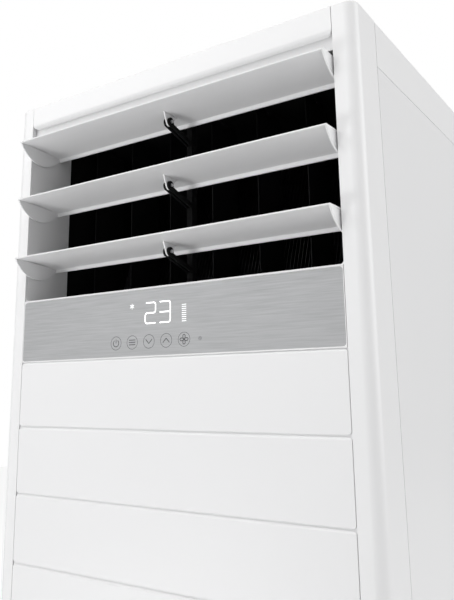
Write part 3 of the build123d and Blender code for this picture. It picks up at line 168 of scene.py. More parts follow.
def surface_grain():
    """A node group: a slow cloud for tone and a fine grain for relief, both from object coordinates."""
    group = bpy.data.node_groups.new("surface grain", "ShaderNodeTree")
    for label, value in (("Cloud Size", 0.3), ("Grain Size", 0.001), ("Contrast", 0.5)):
        group.interface.new_socket(label, in_out="INPUT", socket_type="NodeSocketFloat").default_value = value
    for label in ("Cloud", "Grain"):
        group.interface.new_socket(label, in_out="OUTPUT", socket_type="NodeSocketFloat")
    taken = group.nodes.new("NodeGroupInput").outputs
    place = step(group, "ShaderNodeTexCoord").outputs["Object"]
    cloud_scale = step(group, "ShaderNodeMath", {0: 1.0, 1: taken["Cloud Size"]}, operation="DIVIDE")
    grain_scale = step(group, "ShaderNodeMath", {0: 1.0, 1: taken["Grain Size"]}, operation="DIVIDE")
    cloud = step(group, "ShaderNodeTexNoise", {
        "Vector": place, "Scale": cloud_scale.outputs[0], "Detail": 3.0, "Roughness": 0.5})
    grain = step(group, "ShaderNodeTexNoise", {
        "Vector": place, "Scale": grain_scale.outputs[0], "Detail": 2.0, "Roughness": 0.6})
    spread = step(group, "ShaderNodeMath", {0: cloud.outputs[0], 1: 0.5}, operation="SUBTRACT")
    spread = step(group, "ShaderNodeMath", {0: spread.outputs[0], 1: taken["Contrast"], 2: 0.5},
                  operation="MULTIPLY_ADD", use_clamp=True)
    step(group, "NodeGroupOutput", {"Cloud": spread.outputs[0], "Grain": grain.outputs[0]})
    return group


grain_group = surface_grain()


def finish(name, dark, light, rough, cloud=0.3, grain=0.0012, relief=0.00002, metal=0.0, contrast=1.5,
           shine=0.5):
    """A surface whose tone runs between two colours and whose gloss runs between two roughnesses."""
    made = bpy.data.materials.new(name)
    made.use_nodes = True
    tree = made.node_tree
    shader = tree.nodes["Principled BSDF"]
    shader.inputs["Metallic"].default_value = metal
    shader.inputs["Specular IOR Level"].default_value = shine
    pattern = step(tree, "ShaderNodeGroup", node_tree=grain_group)
    plug(tree, pattern, {"Cloud Size": cloud, "Grain Size": grain, "Contrast": contrast})
    tone = step(tree, "ShaderNodeMix", {0: pattern.outputs["Cloud"], 6: (*dark, 1), 7: (*light, 1)},
                data_type="RGBA")
    gloss = step(tree, "ShaderNodeMapRange", {
        "Value": pattern.outputs["Grain"], "To Min": rough[0], "To Max": rough[1]})
    bump = step(tree, "ShaderNodeBump", {
        "Height": pattern.outputs["Grain"], "Strength": 1.0, "Distance": relief})
    plug(tree, shader, {"Base Color": tone.outputs[2], "Roughness": gloss.outputs[0],
                        "Normal": bump.outputs[0]})
    return made


def dress(material, *nodes):
    """Gives CAD pieces that stay as they are their surface."""
    for node in nodes:
        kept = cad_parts[node].data.materials
        kept.clear()
        kept.append(material)


def show(name, mesh, material, body):
    """Puts a finished mesh in the scene and lets it ride on its body."""
    mesh.materials.clear()
    mesh.materials.append(material)
    piece = bpy.data.objects.new(name, mesh)
    scene.collection.objects.link(piece)
    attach(piece, body)
    return piece


def eased(node, name, edge, material, body="cabinet", steps=2):
    """A copy of a CAD piece whose sharp edges are rounded, as a mould or a folded sheet leaves them."""
    shell = bmesh.new()
    shell.from_mesh(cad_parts[node].data)
    bmesh.ops.remove_doubles(shell, verts=shell.verts, dist=weld_distance)
    bmesh.ops.dissolve_limit(shell, angle_limit=flat_angle, verts=shell.verts, edges=shell.edges)
    for face in shell.faces:
        face.smooth = True
    rough = bpy.data.meshes.new(name)
    shell.to_mesh(rough)
    shell.free()
    holder = bpy.data.objects.new(name + "_rough", rough)
    scene.collection.objects.link(holder)
    bevel = holder.modifiers.new("eased", "BEVEL")
    bevel.width, bevel.segments = edge, steps
    bevel.limit_method, bevel.angle_limit = "ANGLE", fold_angle
    even = holder.modifiers.new("even", "WEIGHTED_NORMAL")
    even.weight, even.keep_sharp = face_weight, False
    done = bpy.data.meshes.new_from_object(holder.evaluated_get(bpy.context.evaluated_depsgraph_get()))
    done.name = name
    bpy.data.objects.remove(holder)
    piece = show(name, done, material, body)
    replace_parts(piece, node)
    return piece


moulded_white = finish("moulded white plastic", (0.80, 0.80, 0.805), (0.83, 0.83, 0.832), (0.34, 0.46))
for side in ("left", "right"):
    eased(f"pillar_{side}", f"corner_moulding_{side}", moulding_edge, moulded_white)
eased("header_panel", "header", moulding_edge, moulded_white)
eased("top_cap", "top_cover", moulding_edge, moulded_white)

# ------------------------------------------------------------------ side, rear and base sheets
# Folded steel sheet with a white powder coat, which flows into a faint orange peel and
# draws back a little from the folds. The grille is moulded and coated to match.
side_edge, rear_edge, plinth_edge, grille_edge = 0.5 * mm, 0.2 * mm, 0.4 * mm, 0.3 * mm
powder_white = finish("white powder coat", (0.79, 0.79, 0.795), (0.815, 0.815, 0.82), (0.30, 0.42),
                      cloud=0.5, grain=0.0035, relief=0.00003)
for side in ("left", "right"):
    eased(f"side_panel_{side}", f"side_sheet_{side}", side_edge, powder_white)
eased("rear_panel", "rear_sheet", rear_edge, powder_white, steps=1)
eased("base_pan", "base_sheet", side_edge, powder_white)
eased("plinth_cover", "plinth_front", plinth_edge, powder_white)
eased("intake_grille", "intake_boards", grille_edge, powder_white, body="intake_grille")

# ------------------------------------------------------------------ front panel of raised boards
# One pressed sheet made to look like five boards. Each board has rounded corners, eased
# edges and an upper edge that slopes back, and the grooves are as deep as the boards are raised.
board_count = 5
board_gap, board_corner, board_rise = 1.9 * mm, 4.4 * mm, 2.2 * mm
board_edge, back_share, board_slope, sheet_wall = 0.8 * mm, 0.2, 3.0 * mm, 2.5 * mm
board_steps, sheet_edge = 3, 0.15 * mm
flange_short, flange_long = 17.3 * mm, 36 * mm
corner_angle = math.radians(50)


def new_tree(name, sizes):
    """An empty geometry tree with named sizes, its mesh input and a surface, and how to read and set them."""
    tree = bpy.data.node_groups.new(name, "GeometryNodeTree")
    tree.interface.new_socket("Geometry", in_out="OUTPUT", socket_type="NodeSocketGeometry")
    sockets = {"Base": tree.interface.new_socket("Base", in_out="INPUT", socket_type="NodeSocketGeometry")}
    for label, value in sizes.items():
        kind = {int: "NodeSocketInt", tuple: "NodeSocketVector"}.get(type(value), "NodeSocketFloat")
        sockets[label] = tree.interface.new_socket(label, in_out="INPUT", socket_type=kind)
        sockets[label].default_value = value
    sockets["Surface"] = tree.interface.new_socket(
        "Surface", in_out="INPUT", socket_type="NodeSocketMaterial")
    return tree, sockets, tree.nodes.new("NodeGroupInput").outputs


def tree_end(tree, geometry, surface):
    """Closes a tree: instances made real, smooth faces, the surface, and out."""
    real = step(tree, "GeometryNodeRealizeInstances", {0: geometry})
    smooth = step(tree, "GeometryNodeSetShadeSmooth", {0: real.outputs[0]})
    coated = step(tree, "GeometryNodeSetMaterial", {0: smooth.outputs[0], "Material": surface})
    step(tree, "NodeGroupOutput", {0: coated.outputs[0]})


def grown(name, tree, sockets, values, base=None, edge=0.0, edge_steps=3, limit="ANGLE"):
    """Runs a tree on a base mesh with these values, eases its edges and gives back the plain mesh."""
    holder = bpy.data.objects.new(name + "_rough", base or bpy.data.meshes.new(name + "_base"))
    scene.collection.objects.link(holder)
    grow = holder.modifiers.new("grow", "NODES")
    grow.node_group = tree
    for label, value in values.items():
        grow[sockets[label].identifier] = value
    if edge:
        bevel = holder.modifiers.new("eased", "BEVEL")
        bevel.width, bevel.segments = edge, edge_steps
        bevel.limit_method, bevel.angle_limit = limit, corner_angle
        even = holder.modifiers.new("even", "WEIGHTED_NORMAL")
        even.weight = face_weight
    done = bpy.data.meshes.new_from_object(holder.evaluated_get(bpy.context.evaluated_depsgraph_get()))
    done.name = name
    bpy.data.objects.remove(holder)
    return done


def board_tree():
    """A column of boards: a rounded outline, filled, given a thickness, turned upright and repeated."""
    tree, sockets, given = new_tree("raised boards", {
        "Width": 0.5, "Height": 0.1, "Corner": 0.005, "Thickness": 0.002, "Pitch": (0.0, 0.0, 0.1),
        "Lowest": (0.0, 0.0, 0.0), "Count": 5, "Slope": 0.003, "Back Share": 0.2})
    outline = step(tree, "GeometryNodeCurvePrimitiveQuadrilateral", {
        "Width": given["Width"], "Height": given["Height"]})
    rounded = step(tree, "GeometryNodeFilletCurve", {
        "Curve": outline.outputs[0], "Radius": given["Corner"], "Count": 8}, mode="POLY")
    face = step(tree, "GeometryNodeFillCurve", {0: rounded.outputs[0]}, mode="NGONS")
    raised = step(tree, "GeometryNodeExtrudeMesh", {
        "Mesh": face.outputs[0], "Offset Scale": given["Thickness"], "Individual": False})
    back = step(tree, "GeometryNodeFlipFaces", {0: face.outputs[0]})
    both = step(tree, "GeometryNodeJoinGeometry")
    tree.links.new(raised.outputs[0], both.inputs[0])
    tree.links.new(back.outputs[0], both.inputs[0])
    closed = step(tree, "GeometryNodeMergeByDistance", {
        0: both.outputs[0], "Distance": weld_distance / 2})
    place = step(tree, "ShaderNodeSeparateXYZ", {0: step(tree, "GeometryNodeInputPosition").outputs[0]})
    half = step(tree, "ShaderNodeMath", {0: given["Height"], 1: 0.5}, operation="MULTIPLY")
    start = step(tree, "ShaderNodeMath", {0: half.outputs[0], 1: given["Corner"]}, operation="SUBTRACT")
    drop = step(tree, "ShaderNodeMath", {0: given["Slope"], 1: -1.0}, operation="MULTIPLY")
    lowered = step(tree, "ShaderNodeMapRange", {
        "Value": place.outputs["Y"], "From Min": start.outputs[0], "From Max": half.outputs[0],
        "To Min": 0.0, "To Max": drop.outputs[0]})
    centre = step(tree, "ShaderNodeMath", {0: given["Thickness"], 1: 0.5}, operation="MULTIPLY")
    from_centre = step(tree, "ShaderNodeMath", {0: place.outputs["Z"], 1: centre.outputs[0]},
                       operation="SUBTRACT")
    quarter = step(tree, "ShaderNodeMath", {0: centre.outputs[0], 1: 0.5}, operation="MULTIPLY")
    front = step(tree, "ShaderNodeMath", {0: from_centre.outputs[0], 1: quarter.outputs[0]},
                 operation="GREATER_THAN")
    sloped = step(tree, "GeometryNodeSetPosition", {
        "Geometry": closed.outputs[0], "Selection": front.outputs[0],
        "Offset": step(tree, "ShaderNodeCombineXYZ", {"Y": lowered.outputs[0]}).outputs[0]})
    off_centre = step(tree, "ShaderNodeMath", {0: from_centre.outputs[0]}, operation="ABSOLUTE")
    rim = step(tree, "ShaderNodeMath", {0: off_centre.outputs[0], 1: quarter.outputs[0]},
               operation="GREATER_THAN")
    share = step(tree, "ShaderNodeMapRange", {
        "Value": place.outputs["Z"], "From Min": 0.0, "From Max": given["Thickness"],
        "To Min": given["Back Share"], "To Max": 1.0})
    rim_weight = step(tree, "ShaderNodeMath", {0: share.outputs[0], 1: rim.outputs[0]}, operation="MULTIPLY")
    weighed = step(tree, "GeometryNodeStoreNamedAttribute", {
        "Geometry": sloped.outputs[0], "Name": "bevel_weight_edge", "Value": rim_weight.outputs[0]},
        data_type="FLOAT", domain="EDGE")
    upright = step(tree, "GeometryNodeTransform", {
        "Geometry": weighed.outputs[0], "Rotation": (math.pi / 2, 0, 0)})
    rows = step(tree, "GeometryNodeMeshLine", {
        "Count": given["Count"], "Start Location": given["Lowest"], "Offset": given["Pitch"]}, mode="OFFSET")
    stack = step(tree, "GeometryNodeInstanceOnPoints", {
        "Points": rows.outputs[0], "Instance": upright.outputs[0]})
    tree_end(tree, stack.outputs[0], given["Surface"])
    return tree, sockets


def slabs(name, spans, edge, surface, body="cabinet"):
    """Folded flanges and plain sheet, each between two corners, with eased edges."""
    shell = bmesh.new()
    for low, high in spans:
        corners = bmesh.ops.create_cube(shell, size=1.0)["verts"]
        middle_of = (Vector(low) + Vector(high)) / 2
        size = Vector(high) - Vector(low)
        bmesh.ops.scale(shell, vec=size, verts=corners)
        bmesh.ops.translate(shell, vec=middle_of, verts=corners)
    bmesh.ops.bevel(shell, geom=list(shell.edges), offset=edge, segments=2, affect="EDGES", profile=0.5)
    made = bpy.data.meshes.new(name)
    shell.to_mesh(made)
    shell.free()
    return show(name, made, surface, body)


panel_low, panel_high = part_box("front_panel")
board_pitch = (panel_high[2] - panel_low[2]) / board_count
board_height = board_pitch - board_gap
boards, board_sockets = board_tree()
board_mesh = grown("front_boards", boards, board_sockets, {
    "Width": panel_high[0] - panel_low[0], "Height": board_height, "Corner": board_corner,
    "Thickness": board_rise, "Pitch": (0.0, 0.0, board_pitch), "Count": board_count,
    "Lowest": (0.0, panel_low[1] + board_rise, panel_low[2] + board_gap + board_height / 2),
    "Slope": board_slope, "Back Share": back_share, "Surface": powder_white},
    edge=board_edge, edge_steps=board_steps, limit="WEIGHT")
front_boards = show("front_boards", board_mesh, powder_white, "cabinet")
sheet_y = (panel_low[1] + board_rise, panel_low[1] + board_rise + sheet_wall)
left, right, foot, top = panel_low[0], panel_high[0], panel_low[2], panel_high[2]
short_back, long_back = panel_low[1] + flange_short, panel_low[1] + flange_long
fold_top, fold_foot = top - sheet_wall, foot + sheet_wall
front_folds = slabs("front_folds", [
    ((left, sheet_y[0], foot), (right, sheet_y[1], top)),
    ((left, sheet_y[1], fold_foot), (left + sheet_wall, short_back, fold_top)),
    ((right - sheet_wall, sheet_y[1], fold_foot), (right, short_back, fold_top)),
    ((left, sheet_y[1], fold_top), (right, short_back, top)),
    ((left, sheet_y[1], foot), (right, long_back, fold_foot)),
], sheet_edge, powder_white)
for piece in (front_boards, front_folds):
    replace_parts(piece, "front_panel")

# ------------------------------------------------------------------ rear panel screws
# Cross recess pan head screws of zinc plated steel, driven into the side sheets.
screw_rows, head_radius, head_height = 5, 4.0 * mm, 2.2 * mm
shank_radius, recess_width, recess_depth = 1.9 * mm, 1.1 * mm, 1.3 * mm
recess_share, head_edge = 1.3, 0.35 * mm
zinc_screw = finish("zinc plated screw", (0.50, 0.50, 0.49), (0.66, 0.66, 0.65), (0.25, 0.4), cloud=0.004,
                    grain=0.0007, metal=1.0)


def screw_tree():
    """One screw cut by a cross, repeated up two edges of the panel."""
    tree, sockets, given = new_tree("pan head screws", {
        "Head Radius": 0.004, "Head Height": 0.002, "Shank Radius": 0.002, "Shank Length": 0.01,
        "Recess Size": (0.005, 0.001, 0.003), "Spread": (0.5, 0.0, 0.0), "Rise": (0.0, 0.0, 0.3),
        "First": (0.0, 0.0, 0.0), "Rows": 5})
    head = step(tree, "GeometryNodeMeshCylinder", {
        "Vertices": 20, "Radius": given["Head Radius"], "Depth": given["Head Height"]})
    slot_one = step(tree, "GeometryNodeMeshCube", {"Size": given["Recess Size"]})
    slot_two = step(tree, "GeometryNodeTransform", {
        "Geometry": slot_one.outputs[0], "Rotation": (0, 0, math.pi / 2)})
    cross = step(tree, "GeometryNodeJoinGeometry")
    tree.links.new(slot_one.outputs[0], cross.inputs[0])
    tree.links.new(slot_two.outputs[0], cross.inputs[0])
    top = step(tree, "ShaderNodeCombineXYZ", {"Z": step(tree, "ShaderNodeMath", {
        0: given["Head Height"], 1: 0.5}, operation="MULTIPLY").outputs[0]})
    cutter = step(tree, "GeometryNodeTransform", {
        "Geometry": cross.outputs[0], "Translation": top.outputs[0]})
    cut = step(tree, "GeometryNodeMeshBoolean", {"Mesh 1": head.outputs[0]}, operation="DIFFERENCE")
    tree.links.new(cutter.outputs[0], cut.inputs["Mesh 2"])
    shank = step(tree, "GeometryNodeMeshCylinder", {
        "Vertices": 12, "Radius": given["Shank Radius"], "Depth": given["Shank Length"]})
    under = step(tree, "ShaderNodeCombineXYZ", {"Z": step(tree, "ShaderNodeMath", {
        0: given["Shank Length"], 1: -0.5}, operation="MULTIPLY").outputs[0]})
    hung = step(tree, "GeometryNodeTransform", {
        "Geometry": shank.outputs[0], "Translation": under.outputs[0]})
    screw = step(tree, "GeometryNodeJoinGeometry")
    tree.links.new(cut.outputs[0], screw.inputs[0])
    tree.links.new(hung.outputs[0], screw.inputs[0])
    laid = step(tree, "GeometryNodeTransform", {
        "Geometry": screw.outputs[0], "Rotation": (-math.pi / 2, 0, 0)})
    pair = step(tree, "GeometryNodeMeshLine", {
        "Count": 2, "Start Location": given["First"], "Offset": given["Spread"]}, mode="OFFSET")
    level = step(tree, "GeometryNodeMeshLine", {
        "Count": given["Rows"], "Offset": given["Rise"]}, mode="OFFSET")
    grid = step(tree, "GeometryNodeInstanceOnPoints", {
        "Points": pair.outputs[0], "Instance": level.outputs[0]})
    places = step(tree, "GeometryNodeRealizeInstances", {0: grid.outputs[0]})
    driven = step(tree, "GeometryNodeInstanceOnPoints", {
        "Points": places.outputs[0], "Instance": laid.outputs[0]})
    tree_end(tree, driven.outputs[0], given["Surface"])
    return tree, sockets


screw_low, screw_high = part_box("cabinet_screws")
screws, screw_sockets = screw_tree()
screw_span = screw_high[2] - screw_low[2] - 2 * head_radius
screw_mesh = grown("rear_screws", screws, screw_sockets, {
    "Head Radius": head_radius, "Head Height": head_height, "Shank Radius": shank_radius,
    "Shank Length": screw_high[1] - screw_low[1] - head_height / 2, "Rows": screw_rows,
    "Recess Size": (recess_share * head_radius, recess_width, 2 * recess_depth),
    "Spread": (screw_high[0] - screw_low[0] - 2 * head_radius, 0.0, 0.0),
    "Rise": (0.0, 0.0, screw_span / (screw_rows - 1)),
    "First": (screw_low[0] + head_radius, screw_high[1] - head_height / 2, screw_low[2] + head_radius),
    "Surface": zinc_screw}, edge=head_edge, edge_steps=2)
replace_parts(show("rear_screws", screw_mesh, zinc_screw, "cabinet"), "cabinet_screws")

# ------------------------------------------------------------------ outlet frame and louvers
# White moulded parts. Each louver is one long plate with half-moon ends, a centre fin
# and a thin bright front edge. It turns in dark bushes and on a black forked support.
# A closing strip hangs behind the header's lip, with hooks over it, above the top louver.
surround_edge, louver_edge, support_edge, strip_edge = 0.3 * mm, 0.25 * mm, 0.25 * mm, 0.4 * mm
strip_depth, strip_wall, strip_side = 8.2 * mm, 1.8 * mm, 0.6 * mm
strip_rise, strip_drop = 5.7 * mm, 17.5 * mm
strip_skin, foot_return, hook_reach = 0.5 * mm, 2.6 * mm, 3.0 * mm
hook_level, hook_wall, hook_width, hook_count = 3.7 * mm, 1.2 * mm, 18 * mm, 6
frame_white = finish("outlet frame plastic", (0.78, 0.78, 0.785), (0.80, 0.80, 0.803), (0.36, 0.48))
eased("outlet_frame", "outlet_surround", surround_edge, frame_white)
header_low, header_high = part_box("header_panel")
strip_top, strip_foot = header_low[2] + strip_rise, header_low[2] - strip_drop
strip_front = header_low[1] + strip_depth
strip_left, strip_right = header_low[0] + strip_side, header_high[0] - strip_side
strip_spans = [
    ((strip_left, strip_front, strip_foot), (strip_right, strip_front + strip_wall, strip_top)),
    ((strip_left + strip_skin, strip_front + strip_skin, strip_foot + strip_skin),
     (strip_right - strip_skin, strip_front + foot_return, strip_foot + strip_skin + strip_wall))]
hook_foot = header_low[2] + hook_level
for i in range(hook_count):
    hook_x = strip_left + (i + 0.5) * (strip_right - strip_left) / hook_count
    strip_spans.append((
        (hook_x - hook_width / 2, strip_front - hook_reach, hook_foot),
        (hook_x + hook_width / 2, strip_front + strip_wall - strip_skin, hook_foot + hook_wall)))
slabs("closing_strip", strip_spans, strip_edge, frame_white)
louver_white = finish("louver plastic", (0.78, 0.78, 0.786), (0.80, 0.80, 0.804), (0.32, 0.44))
for level in ("top", "middle", "bottom"):
    eased(f"louver_{level}", f"louver_plate_{level}", louver_edge, louver_white,
          body=f"louver_{level}")
black_support = finish("black support plastic", (0.003, 0.003, 0.0032), (0.006, 0.006, 0.0063), (0.6, 0.75),
                       grain=0.0008, shine=0.12)
eased("centre_support", "louver_support", support_edge, black_support)
steel_pin = finish("bright steel pin", (0.55, 0.55, 0.56), (0.62, 0.62, 0.63), (0.22, 0.34), metal=1.0,
                   grain=0.0006)
dress(steel_pin, "centre_pins", "fan_shaft")
dark_link = finish("dark acetal", (0.03, 0.03, 0.032), (0.05, 0.05, 0.052), (0.4, 0.52))
dress(dark_link, "louver_link", "louver_bushes")
motor_can = finish("motor can paint", (0.03, 0.032, 0.034), (0.05, 0.052, 0.055), (0.3, 0.45), grain=0.002)
dress(motor_can, "louver_motor", "vane_motor", "fan_motor")

# ------------------------------------------------------------------ air duct and upright vanes
# Black moulded plastic, so that nothing shows between the louvers but the front edges
# of the vanes and, low down, the fins of the coil.
duct_black = finish("black duct plastic", (0.004, 0.004, 0.0042), (0.007, 0.007, 0.0073), (0.62, 0.78),
                    grain=0.0016, shine=0.15)
dress(duct_black, "air_duct", "vane_link", "inlet_ring", "filter_frame")
vane_black = finish("black vane plastic", (0.005, 0.005, 0.0053), (0.009, 0.009, 0.0094), (0.45, 0.6),
                    grain=0.0016, shine=0.2)
vane_count = 7
dress(vane_black, *[f"vane_{i + 1}" for i in range(vane_count)])

# ------------------------------------------------------------------ display strip
# A thin metal plate, brushed along its length, in a white carrier. Lit digits show
# through it, and the touch keys are fine dark lines printed on it.
carrier_edge, plate_edge = 0.3 * mm, 0.25 * mm
plate_metal, plate_gloss, plate_tones = 0.4, (0.42, 0.56), (0.30, 0.72)
dark_streak, pale_streak = (0.37, 0.374, 0.38, 1), (0.50, 0.505, 0.513, 1)
hair_stretch, band_stretch = (34.0, 1.0, 2600.0), (16.0, 1.0, 520.0)
hair_share, scratch_depth = 0.45, 0.02 * mm
carrier_white = finish("carrier plastic", (0.82, 0.82, 0.823), (0.84, 0.84, 0.843), (0.32, 0.42))
eased("display_carrier", "display_surround", carrier_edge, carrier_white)


def brushed_metal():
    """Long fine scratches along X, in tone, gloss and relief."""
    made = bpy.data.materials.new("brushed plate")
    made.use_nodes = True
    tree = made.node_tree
    shader = tree.nodes["Principled BSDF"]
    shader.inputs["Metallic"].default_value = plate_metal
    place = step(tree, "ShaderNodeTexCoord").outputs["Object"]
    fine = step(tree, "ShaderNodeMapping", {"Vector": place, "Scale": hair_stretch})
    coarse = step(tree, "ShaderNodeMapping", {"Vector": place, "Scale": band_stretch})
    hair = step(tree, "ShaderNodeTexNoise", {"Vector": fine.outputs[0], "Scale": 1.0, "Detail": 2.0})
    band = step(tree, "ShaderNodeTexNoise", {"Vector": coarse.outputs[0], "Scale": 1.0, "Detail": 3.0})
    both = step(tree, "ShaderNodeMix", {0: hair_share, 2: band.outputs[0], 3: hair.outputs[0]})
    tone = step(tree, "ShaderNodeValToRGB", {"Fac": both.outputs[0]})
    for stop, position, colour in zip(tone.color_ramp.elements, plate_tones, (dark_streak, pale_streak)):
        stop.position, stop.color = position, colour
    gloss = step(tree, "ShaderNodeMapRange", {
        "Value": both.outputs[0], "To Min": plate_gloss[0], "To Max": plate_gloss[1]})
    bump = step(tree, "ShaderNodeBump", {"Height": both.outputs[0], "Distance": scratch_depth})
    plug(tree, shader, {"Base Color": tone.outputs[0], "Roughness": gloss.outputs[0],
                        "Normal": bump.outputs[0]})
    return made


eased("display_plate", "brushed_plate", plate_edge, brushed_metal())

# ------------------------------------------------------------------ digits, signs and touch keys
# The digits and signs are light from the board behind, the keys are fine lines of dark
# ink, and a small tinted window beside them covers the sensor. All of them are drawn
# lines of even width with rounded corners.
face_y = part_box("display_plate")[0][1]
digit_top, digit_foot = 1488.0 * mm, 1459.6 * mm
digit_width, digit_line, digit_corner, two_inset = 17.6 * mm, 1.55 * mm, 3.2 * mm, 1.2 * mm
two_x, three_x = -22.6 * mm, 2.2 * mm
digit_middle = (digit_top + digit_foot) / 2
key_level, key_radius, key_line = 1434.9 * mm, 9.3 * mm, 0.6 * mm
key_first, key_pitch, key_count = -74.1 * mm, 29.05 * mm, 5
sign_line, sign_corner = 1.05 * mm, 0.3 * mm
power_radius, power_stroke, power_from, power_to = 4.8 * mm, 5.6 * mm, 125, 415
mode_half, mode_step = 5.6 * mm, 3.2 * mm
chevron_half, chevron_rise = 5.4 * mm, 2.9 * mm
petal_reach, petal_width, petal_root, petal_sides, petal_count = 6.4 * mm, 2.3 * mm, 0.55, 16, 4
bar_count, bar_first, bar_pitch, bar_width, bar_line = 9, 1459.2 * mm, 2.75 * mm, 7.2 * mm, 0.95 * mm
bar_x = 42.2 * mm
frost_x, frost_level, frost_reach, frost_line = -46.0 * mm, 1485.0 * mm, 3.9 * mm, 1.1 * mm
sensor_x, sensor_level, sensor_radius, sensor_line = 67.2 * mm, 1435.0 * mm, 2.6 * mm, 0.5 * mm
sensor_shares, ring_steps = (0.25, 0.6, 0.95), 48
ink_proud = 0.22


def drawn_tree():
    """A tree that draws a line of even width along every edge of its base."""
    tree, sockets, given = new_tree("drawn line", {"Line Width": 0.001, "Corner": 0.001})
    path = step(tree, "GeometryNodeMeshToCurve", {0: given["Base"]})
    rounded = step(tree, "GeometryNodeFilletCurve", {
        "Curve": path.outputs[0], "Radius": given["Corner"], "Count": 6, "Limit Radius": True}, mode="POLY")
    half_line = step(tree, "ShaderNodeMath", {0: given["Line Width"], 1: 0.5}, operation="MULTIPLY")
    pen = step(tree, "GeometryNodeCurvePrimitiveCircle", {"Resolution": 8, "Radius": half_line.outputs[0]})
    line = step(tree, "GeometryNodeCurveToMesh", {
        "Curve": rounded.outputs[0], "Profile Curve": pen.outputs[0], "Fill Caps": True})
    tree_end(tree, line.outputs[0], given["Surface"])
    return tree, sockets


def arc(centre, radius, start, end, count=24):
    """Points of an arc on the plate, from one angle to another in degrees."""
    turns = [math.radians(start + (end - start) * i / count) for i in range(count + 1)]
    return [(centre[0] + radius * math.cos(a), centre[1] + radius * math.sin(a)) for a in turns]


def drawn(name, lines, width, corner, surface):
    """Draws lines, given as points across and up, on the face of the plate."""
    points, edges = [], []
    for line in lines:
        closed = math.dist(line[0], line[-1]) < weld_distance
        fresh = line[:-1] if closed else line
        first = len(points)
        points += [(x, face_y, z) for x, z in fresh]
        edges += [(first + i, first + i + 1) for i in range(len(fresh) - 1)]
        if closed:
            edges.append((first + len(fresh) - 1, first))
    base = bpy.data.meshes.new(name + "_path")
    base.from_pydata(points, edges, [])
    mesh = grown(name, ink_tree, ink_sockets, {
        "Line Width": width, "Corner": corner, "Surface": surface}, base=base)
    mesh.transform(Matrix.Translation((0, face_y * (1 - ink_proud), 0))
                   @ Matrix.Diagonal((1, ink_proud, 1, 1)))
    return show(name, mesh, surface, "cabinet")


def lit(name, colour, strength):
    """A sign that gives light: a pale lens whose brightness wavers a little over its length."""
    made = finish(name, (0.85, 0.85, 0.85), (0.9, 0.9, 0.9), (0.4, 0.5), cloud=0.01)
    shader = made.node_tree.nodes["Principled BSDF"]
    shader.inputs["Emission Color"].default_value = (*colour, 1)
    shader.inputs["Emission Strength"].default_value = strength
    return made


ink_tree, ink_sockets = drawn_tree()
lit_white = lit("lit white sign", (1.0, 1.0, 1.0), 1.3)
lit_soft = lit("lit soft sign", (0.95, 0.98, 1.0), 0.5)
dark_ink = finish("dark key ink", (0.035, 0.036, 0.038), (0.06, 0.061, 0.063), (0.45, 0.6), cloud=0.01)
two = [(two_x + two_inset, digit_top), (two_x + digit_width, digit_top), (two_x + digit_width, digit_middle),
       (two_x, digit_middle), (two_x, digit_foot), (two_x + digit_width, digit_foot)]
three = [(three_x, digit_top), (three_x + digit_width, digit_top), (three_x + digit_width, digit_foot),
         (three_x, digit_foot)]
three_bar = [(three_x, digit_middle), (three_x + digit_width - digit_line / 2, digit_middle)]
drawn("digits", [two, three, three_bar], digit_line, digit_corner, lit_white)
bar_levels = [bar_first + i * bar_pitch for i in range(bar_count)]
bars = [[(bar_x - bar_width / 2, z), (bar_x + bar_width / 2, z)] for z in bar_levels]
drawn("level_bars", bars, bar_line, 0.0, lit_soft)
frost = [[(frost_x - frost_reach * math.cos(a), frost_level - frost_reach * math.sin(a)),
          (frost_x + frost_reach * math.cos(a), frost_level + frost_reach * math.sin(a))]
         for a in (math.pi / 6, math.pi / 2, 5 * math.pi / 6)]
drawn("frost_sign", frost, frost_line, 0.0, lit_soft)

key_places = [(key_first + i * key_pitch, key_level) for i in range(key_count)]
key_rings = [arc(place, key_radius, 0, 360, ring_steps) for place in key_places]
drawn("key_rings", key_rings, key_line, 0.0, dark_ink)
power, mode, lower, higher, blow = key_places


def petal(turn):
    """One blade of the fan sign: a closed leaf that starts and ends at the hub."""
    leaf = []
    for i in range(petal_sides + 1):
        a = 2 * math.pi * i / petal_sides
        out = petal_reach * (1 - math.cos(a)) / 2
        across = petal_width * math.sin(a) * (petal_root + (1 - petal_root) * out / petal_reach)
        leaf.append((blow[0] + out * math.cos(turn) - across * math.sin(turn),
                     blow[1] + out * math.sin(turn) + across * math.cos(turn)))
    return leaf


signs = [arc(power, power_radius, power_from, power_to), [power, (power[0], power[1] + power_stroke)]]
signs += [[(mode[0] - mode_half, mode[1] + up), (mode[0] + mode_half, mode[1] + up)]
          for up in (mode_step, 0.0, -mode_step)]
for place, way in ((lower, -1), (higher, 1)):
    signs.append([(place[0] - chevron_half, place[1] - way * chevron_rise),
                  (place[0], place[1] + way * chevron_rise),
                  (place[0] + chevron_half, place[1] - way * chevron_rise)])
signs += [petal(math.tau / petal_count * i) for i in range(petal_count)]
drawn("key_signs", signs, sign_line, sign_corner, dark_ink)
sensor_tint = finish("sensor window tint", (0.16, 0.162, 0.165), (0.24, 0.242, 0.246), (0.4, 0.55),
                     cloud=0.002)
sensor_rings = [arc((sensor_x, sensor_level), sensor_radius * share, 0, 360) for share in sensor_shares]
drawn("sensor_window", sensor_rings, sensor_line, 0.0, sensor_tint)

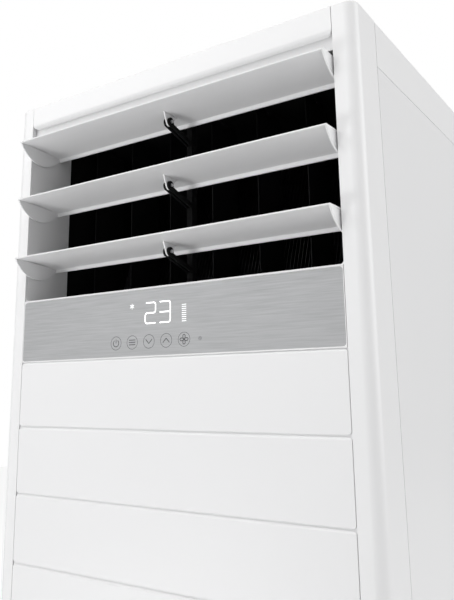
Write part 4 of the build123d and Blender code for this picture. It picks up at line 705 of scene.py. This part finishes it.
# ------------------------------------------------------------------ what stays inside
# The air side and the electrical side, which show through the slots, with the grille open
# and from below: black and grey plastic, zinc coated sheet, copper, foil darkened as painted shade and woven
# nets.
thread_pitch, thread_rise, wave_factor = 2.4 * mm, 0.4 * mm, 20
green_board = finish("coated circuit board", (0.012, 0.07, 0.03), (0.02, 0.10, 0.045), (0.25, 0.4),
                     cloud=0.02, grain=0.003)
dress(green_board, "display_board", "main_board", "terminal_block")
zinc_sheet = finish("zinc coated sheet", (0.38, 0.39, 0.40), (0.62, 0.63, 0.64), (0.28, 0.5), cloud=0.02,
                    grain=0.004, metal=1.0)
dress(zinc_sheet, "fan_deck", "blower_housing", "coil_end_plates", "motor_bracket", "control_box_cover")
dress(duct_black, "control_box")
wheel_grey = finish("fan wheel plastic", (0.03, 0.03, 0.032), (0.05, 0.05, 0.052), (0.4, 0.55))
dress(wheel_grey, "blower_wheel")
# Painted shade: the coil's foil and the run capacitor are a dark grey, far darker than bare aluminium,
# standing in for the shade deep inside the cabinet.
foil_darkened_as_shade = finish("aluminium foil darkened as painted shade", (0.12, 0.122, 0.125), (0.26, 0.263, 0.268), (0.3, 0.45),
                     cloud=0.03, metal=1.0)
dress(foil_darkened_as_shade, "evaporator_fins", "run_capacitor")
drawn_copper = finish("drawn copper", (0.55, 0.25, 0.13), (0.72, 0.36, 0.2), (0.22, 0.4), cloud=0.04,
                      metal=1.0)
dress(drawn_copper, "evaporator_bends", "gas_pipe", "liquid_pipe")
turned_brass = finish("turned brass", (0.60, 0.42, 0.16), (0.72, 0.52, 0.22), (0.2, 0.35), cloud=0.02,
                      metal=1.0)
dress(turned_brass, "flare_unions")
pan_grey = finish("drain pan plastic", (0.42, 0.43, 0.44), (0.5, 0.51, 0.52), (0.4, 0.55))
dress(pan_grey, "drain_pan", "drain_pipe")


def woven_net():
    """Two sets of threads that cross at right angles, pale on a dark ground."""
    made = finish("filter net", (0.05, 0.055, 0.06), (0.08, 0.085, 0.09), (0.5, 0.7))
    tree = made.node_tree
    shader = tree.nodes["Principled BSDF"]
    place = step(tree, "ShaderNodeTexCoord").outputs["Object"]
    scale = math.tau / (wave_factor * thread_pitch)
    threads = [step(tree, "ShaderNodeTexWave", {"Vector": place, "Scale": scale}, bands_direction=way)
               for way in ("X", "Z")]
    weave = step(tree, "ShaderNodeMath", {0: threads[0].outputs["Fac"], 1: threads[1].outputs["Fac"]},
                 operation="MAXIMUM")
    ground = shader.inputs["Base Color"].links[0].from_socket
    tone = step(tree, "ShaderNodeMix", {0: weave.outputs[0], 6: (0.006, 0.007, 0.008, 1), 7: ground},
                data_type="RGBA")
    bump = step(tree, "ShaderNodeBump", {"Height": weave.outputs[0], "Distance": thread_rise})
    plug(tree, shader, {"Base Color": tone.outputs[2], "Normal": bump.outputs[0]})
    return made


dress(woven_net(), "air_filter_right", "air_filter_left")
black_rubber = finish("black rubber", (0.012, 0.012, 0.012), (0.02, 0.02, 0.02), (0.6, 0.8), grain=0.002)
dress(black_rubber, "levelling_feet", "pipe_grommet", "cable_gland")
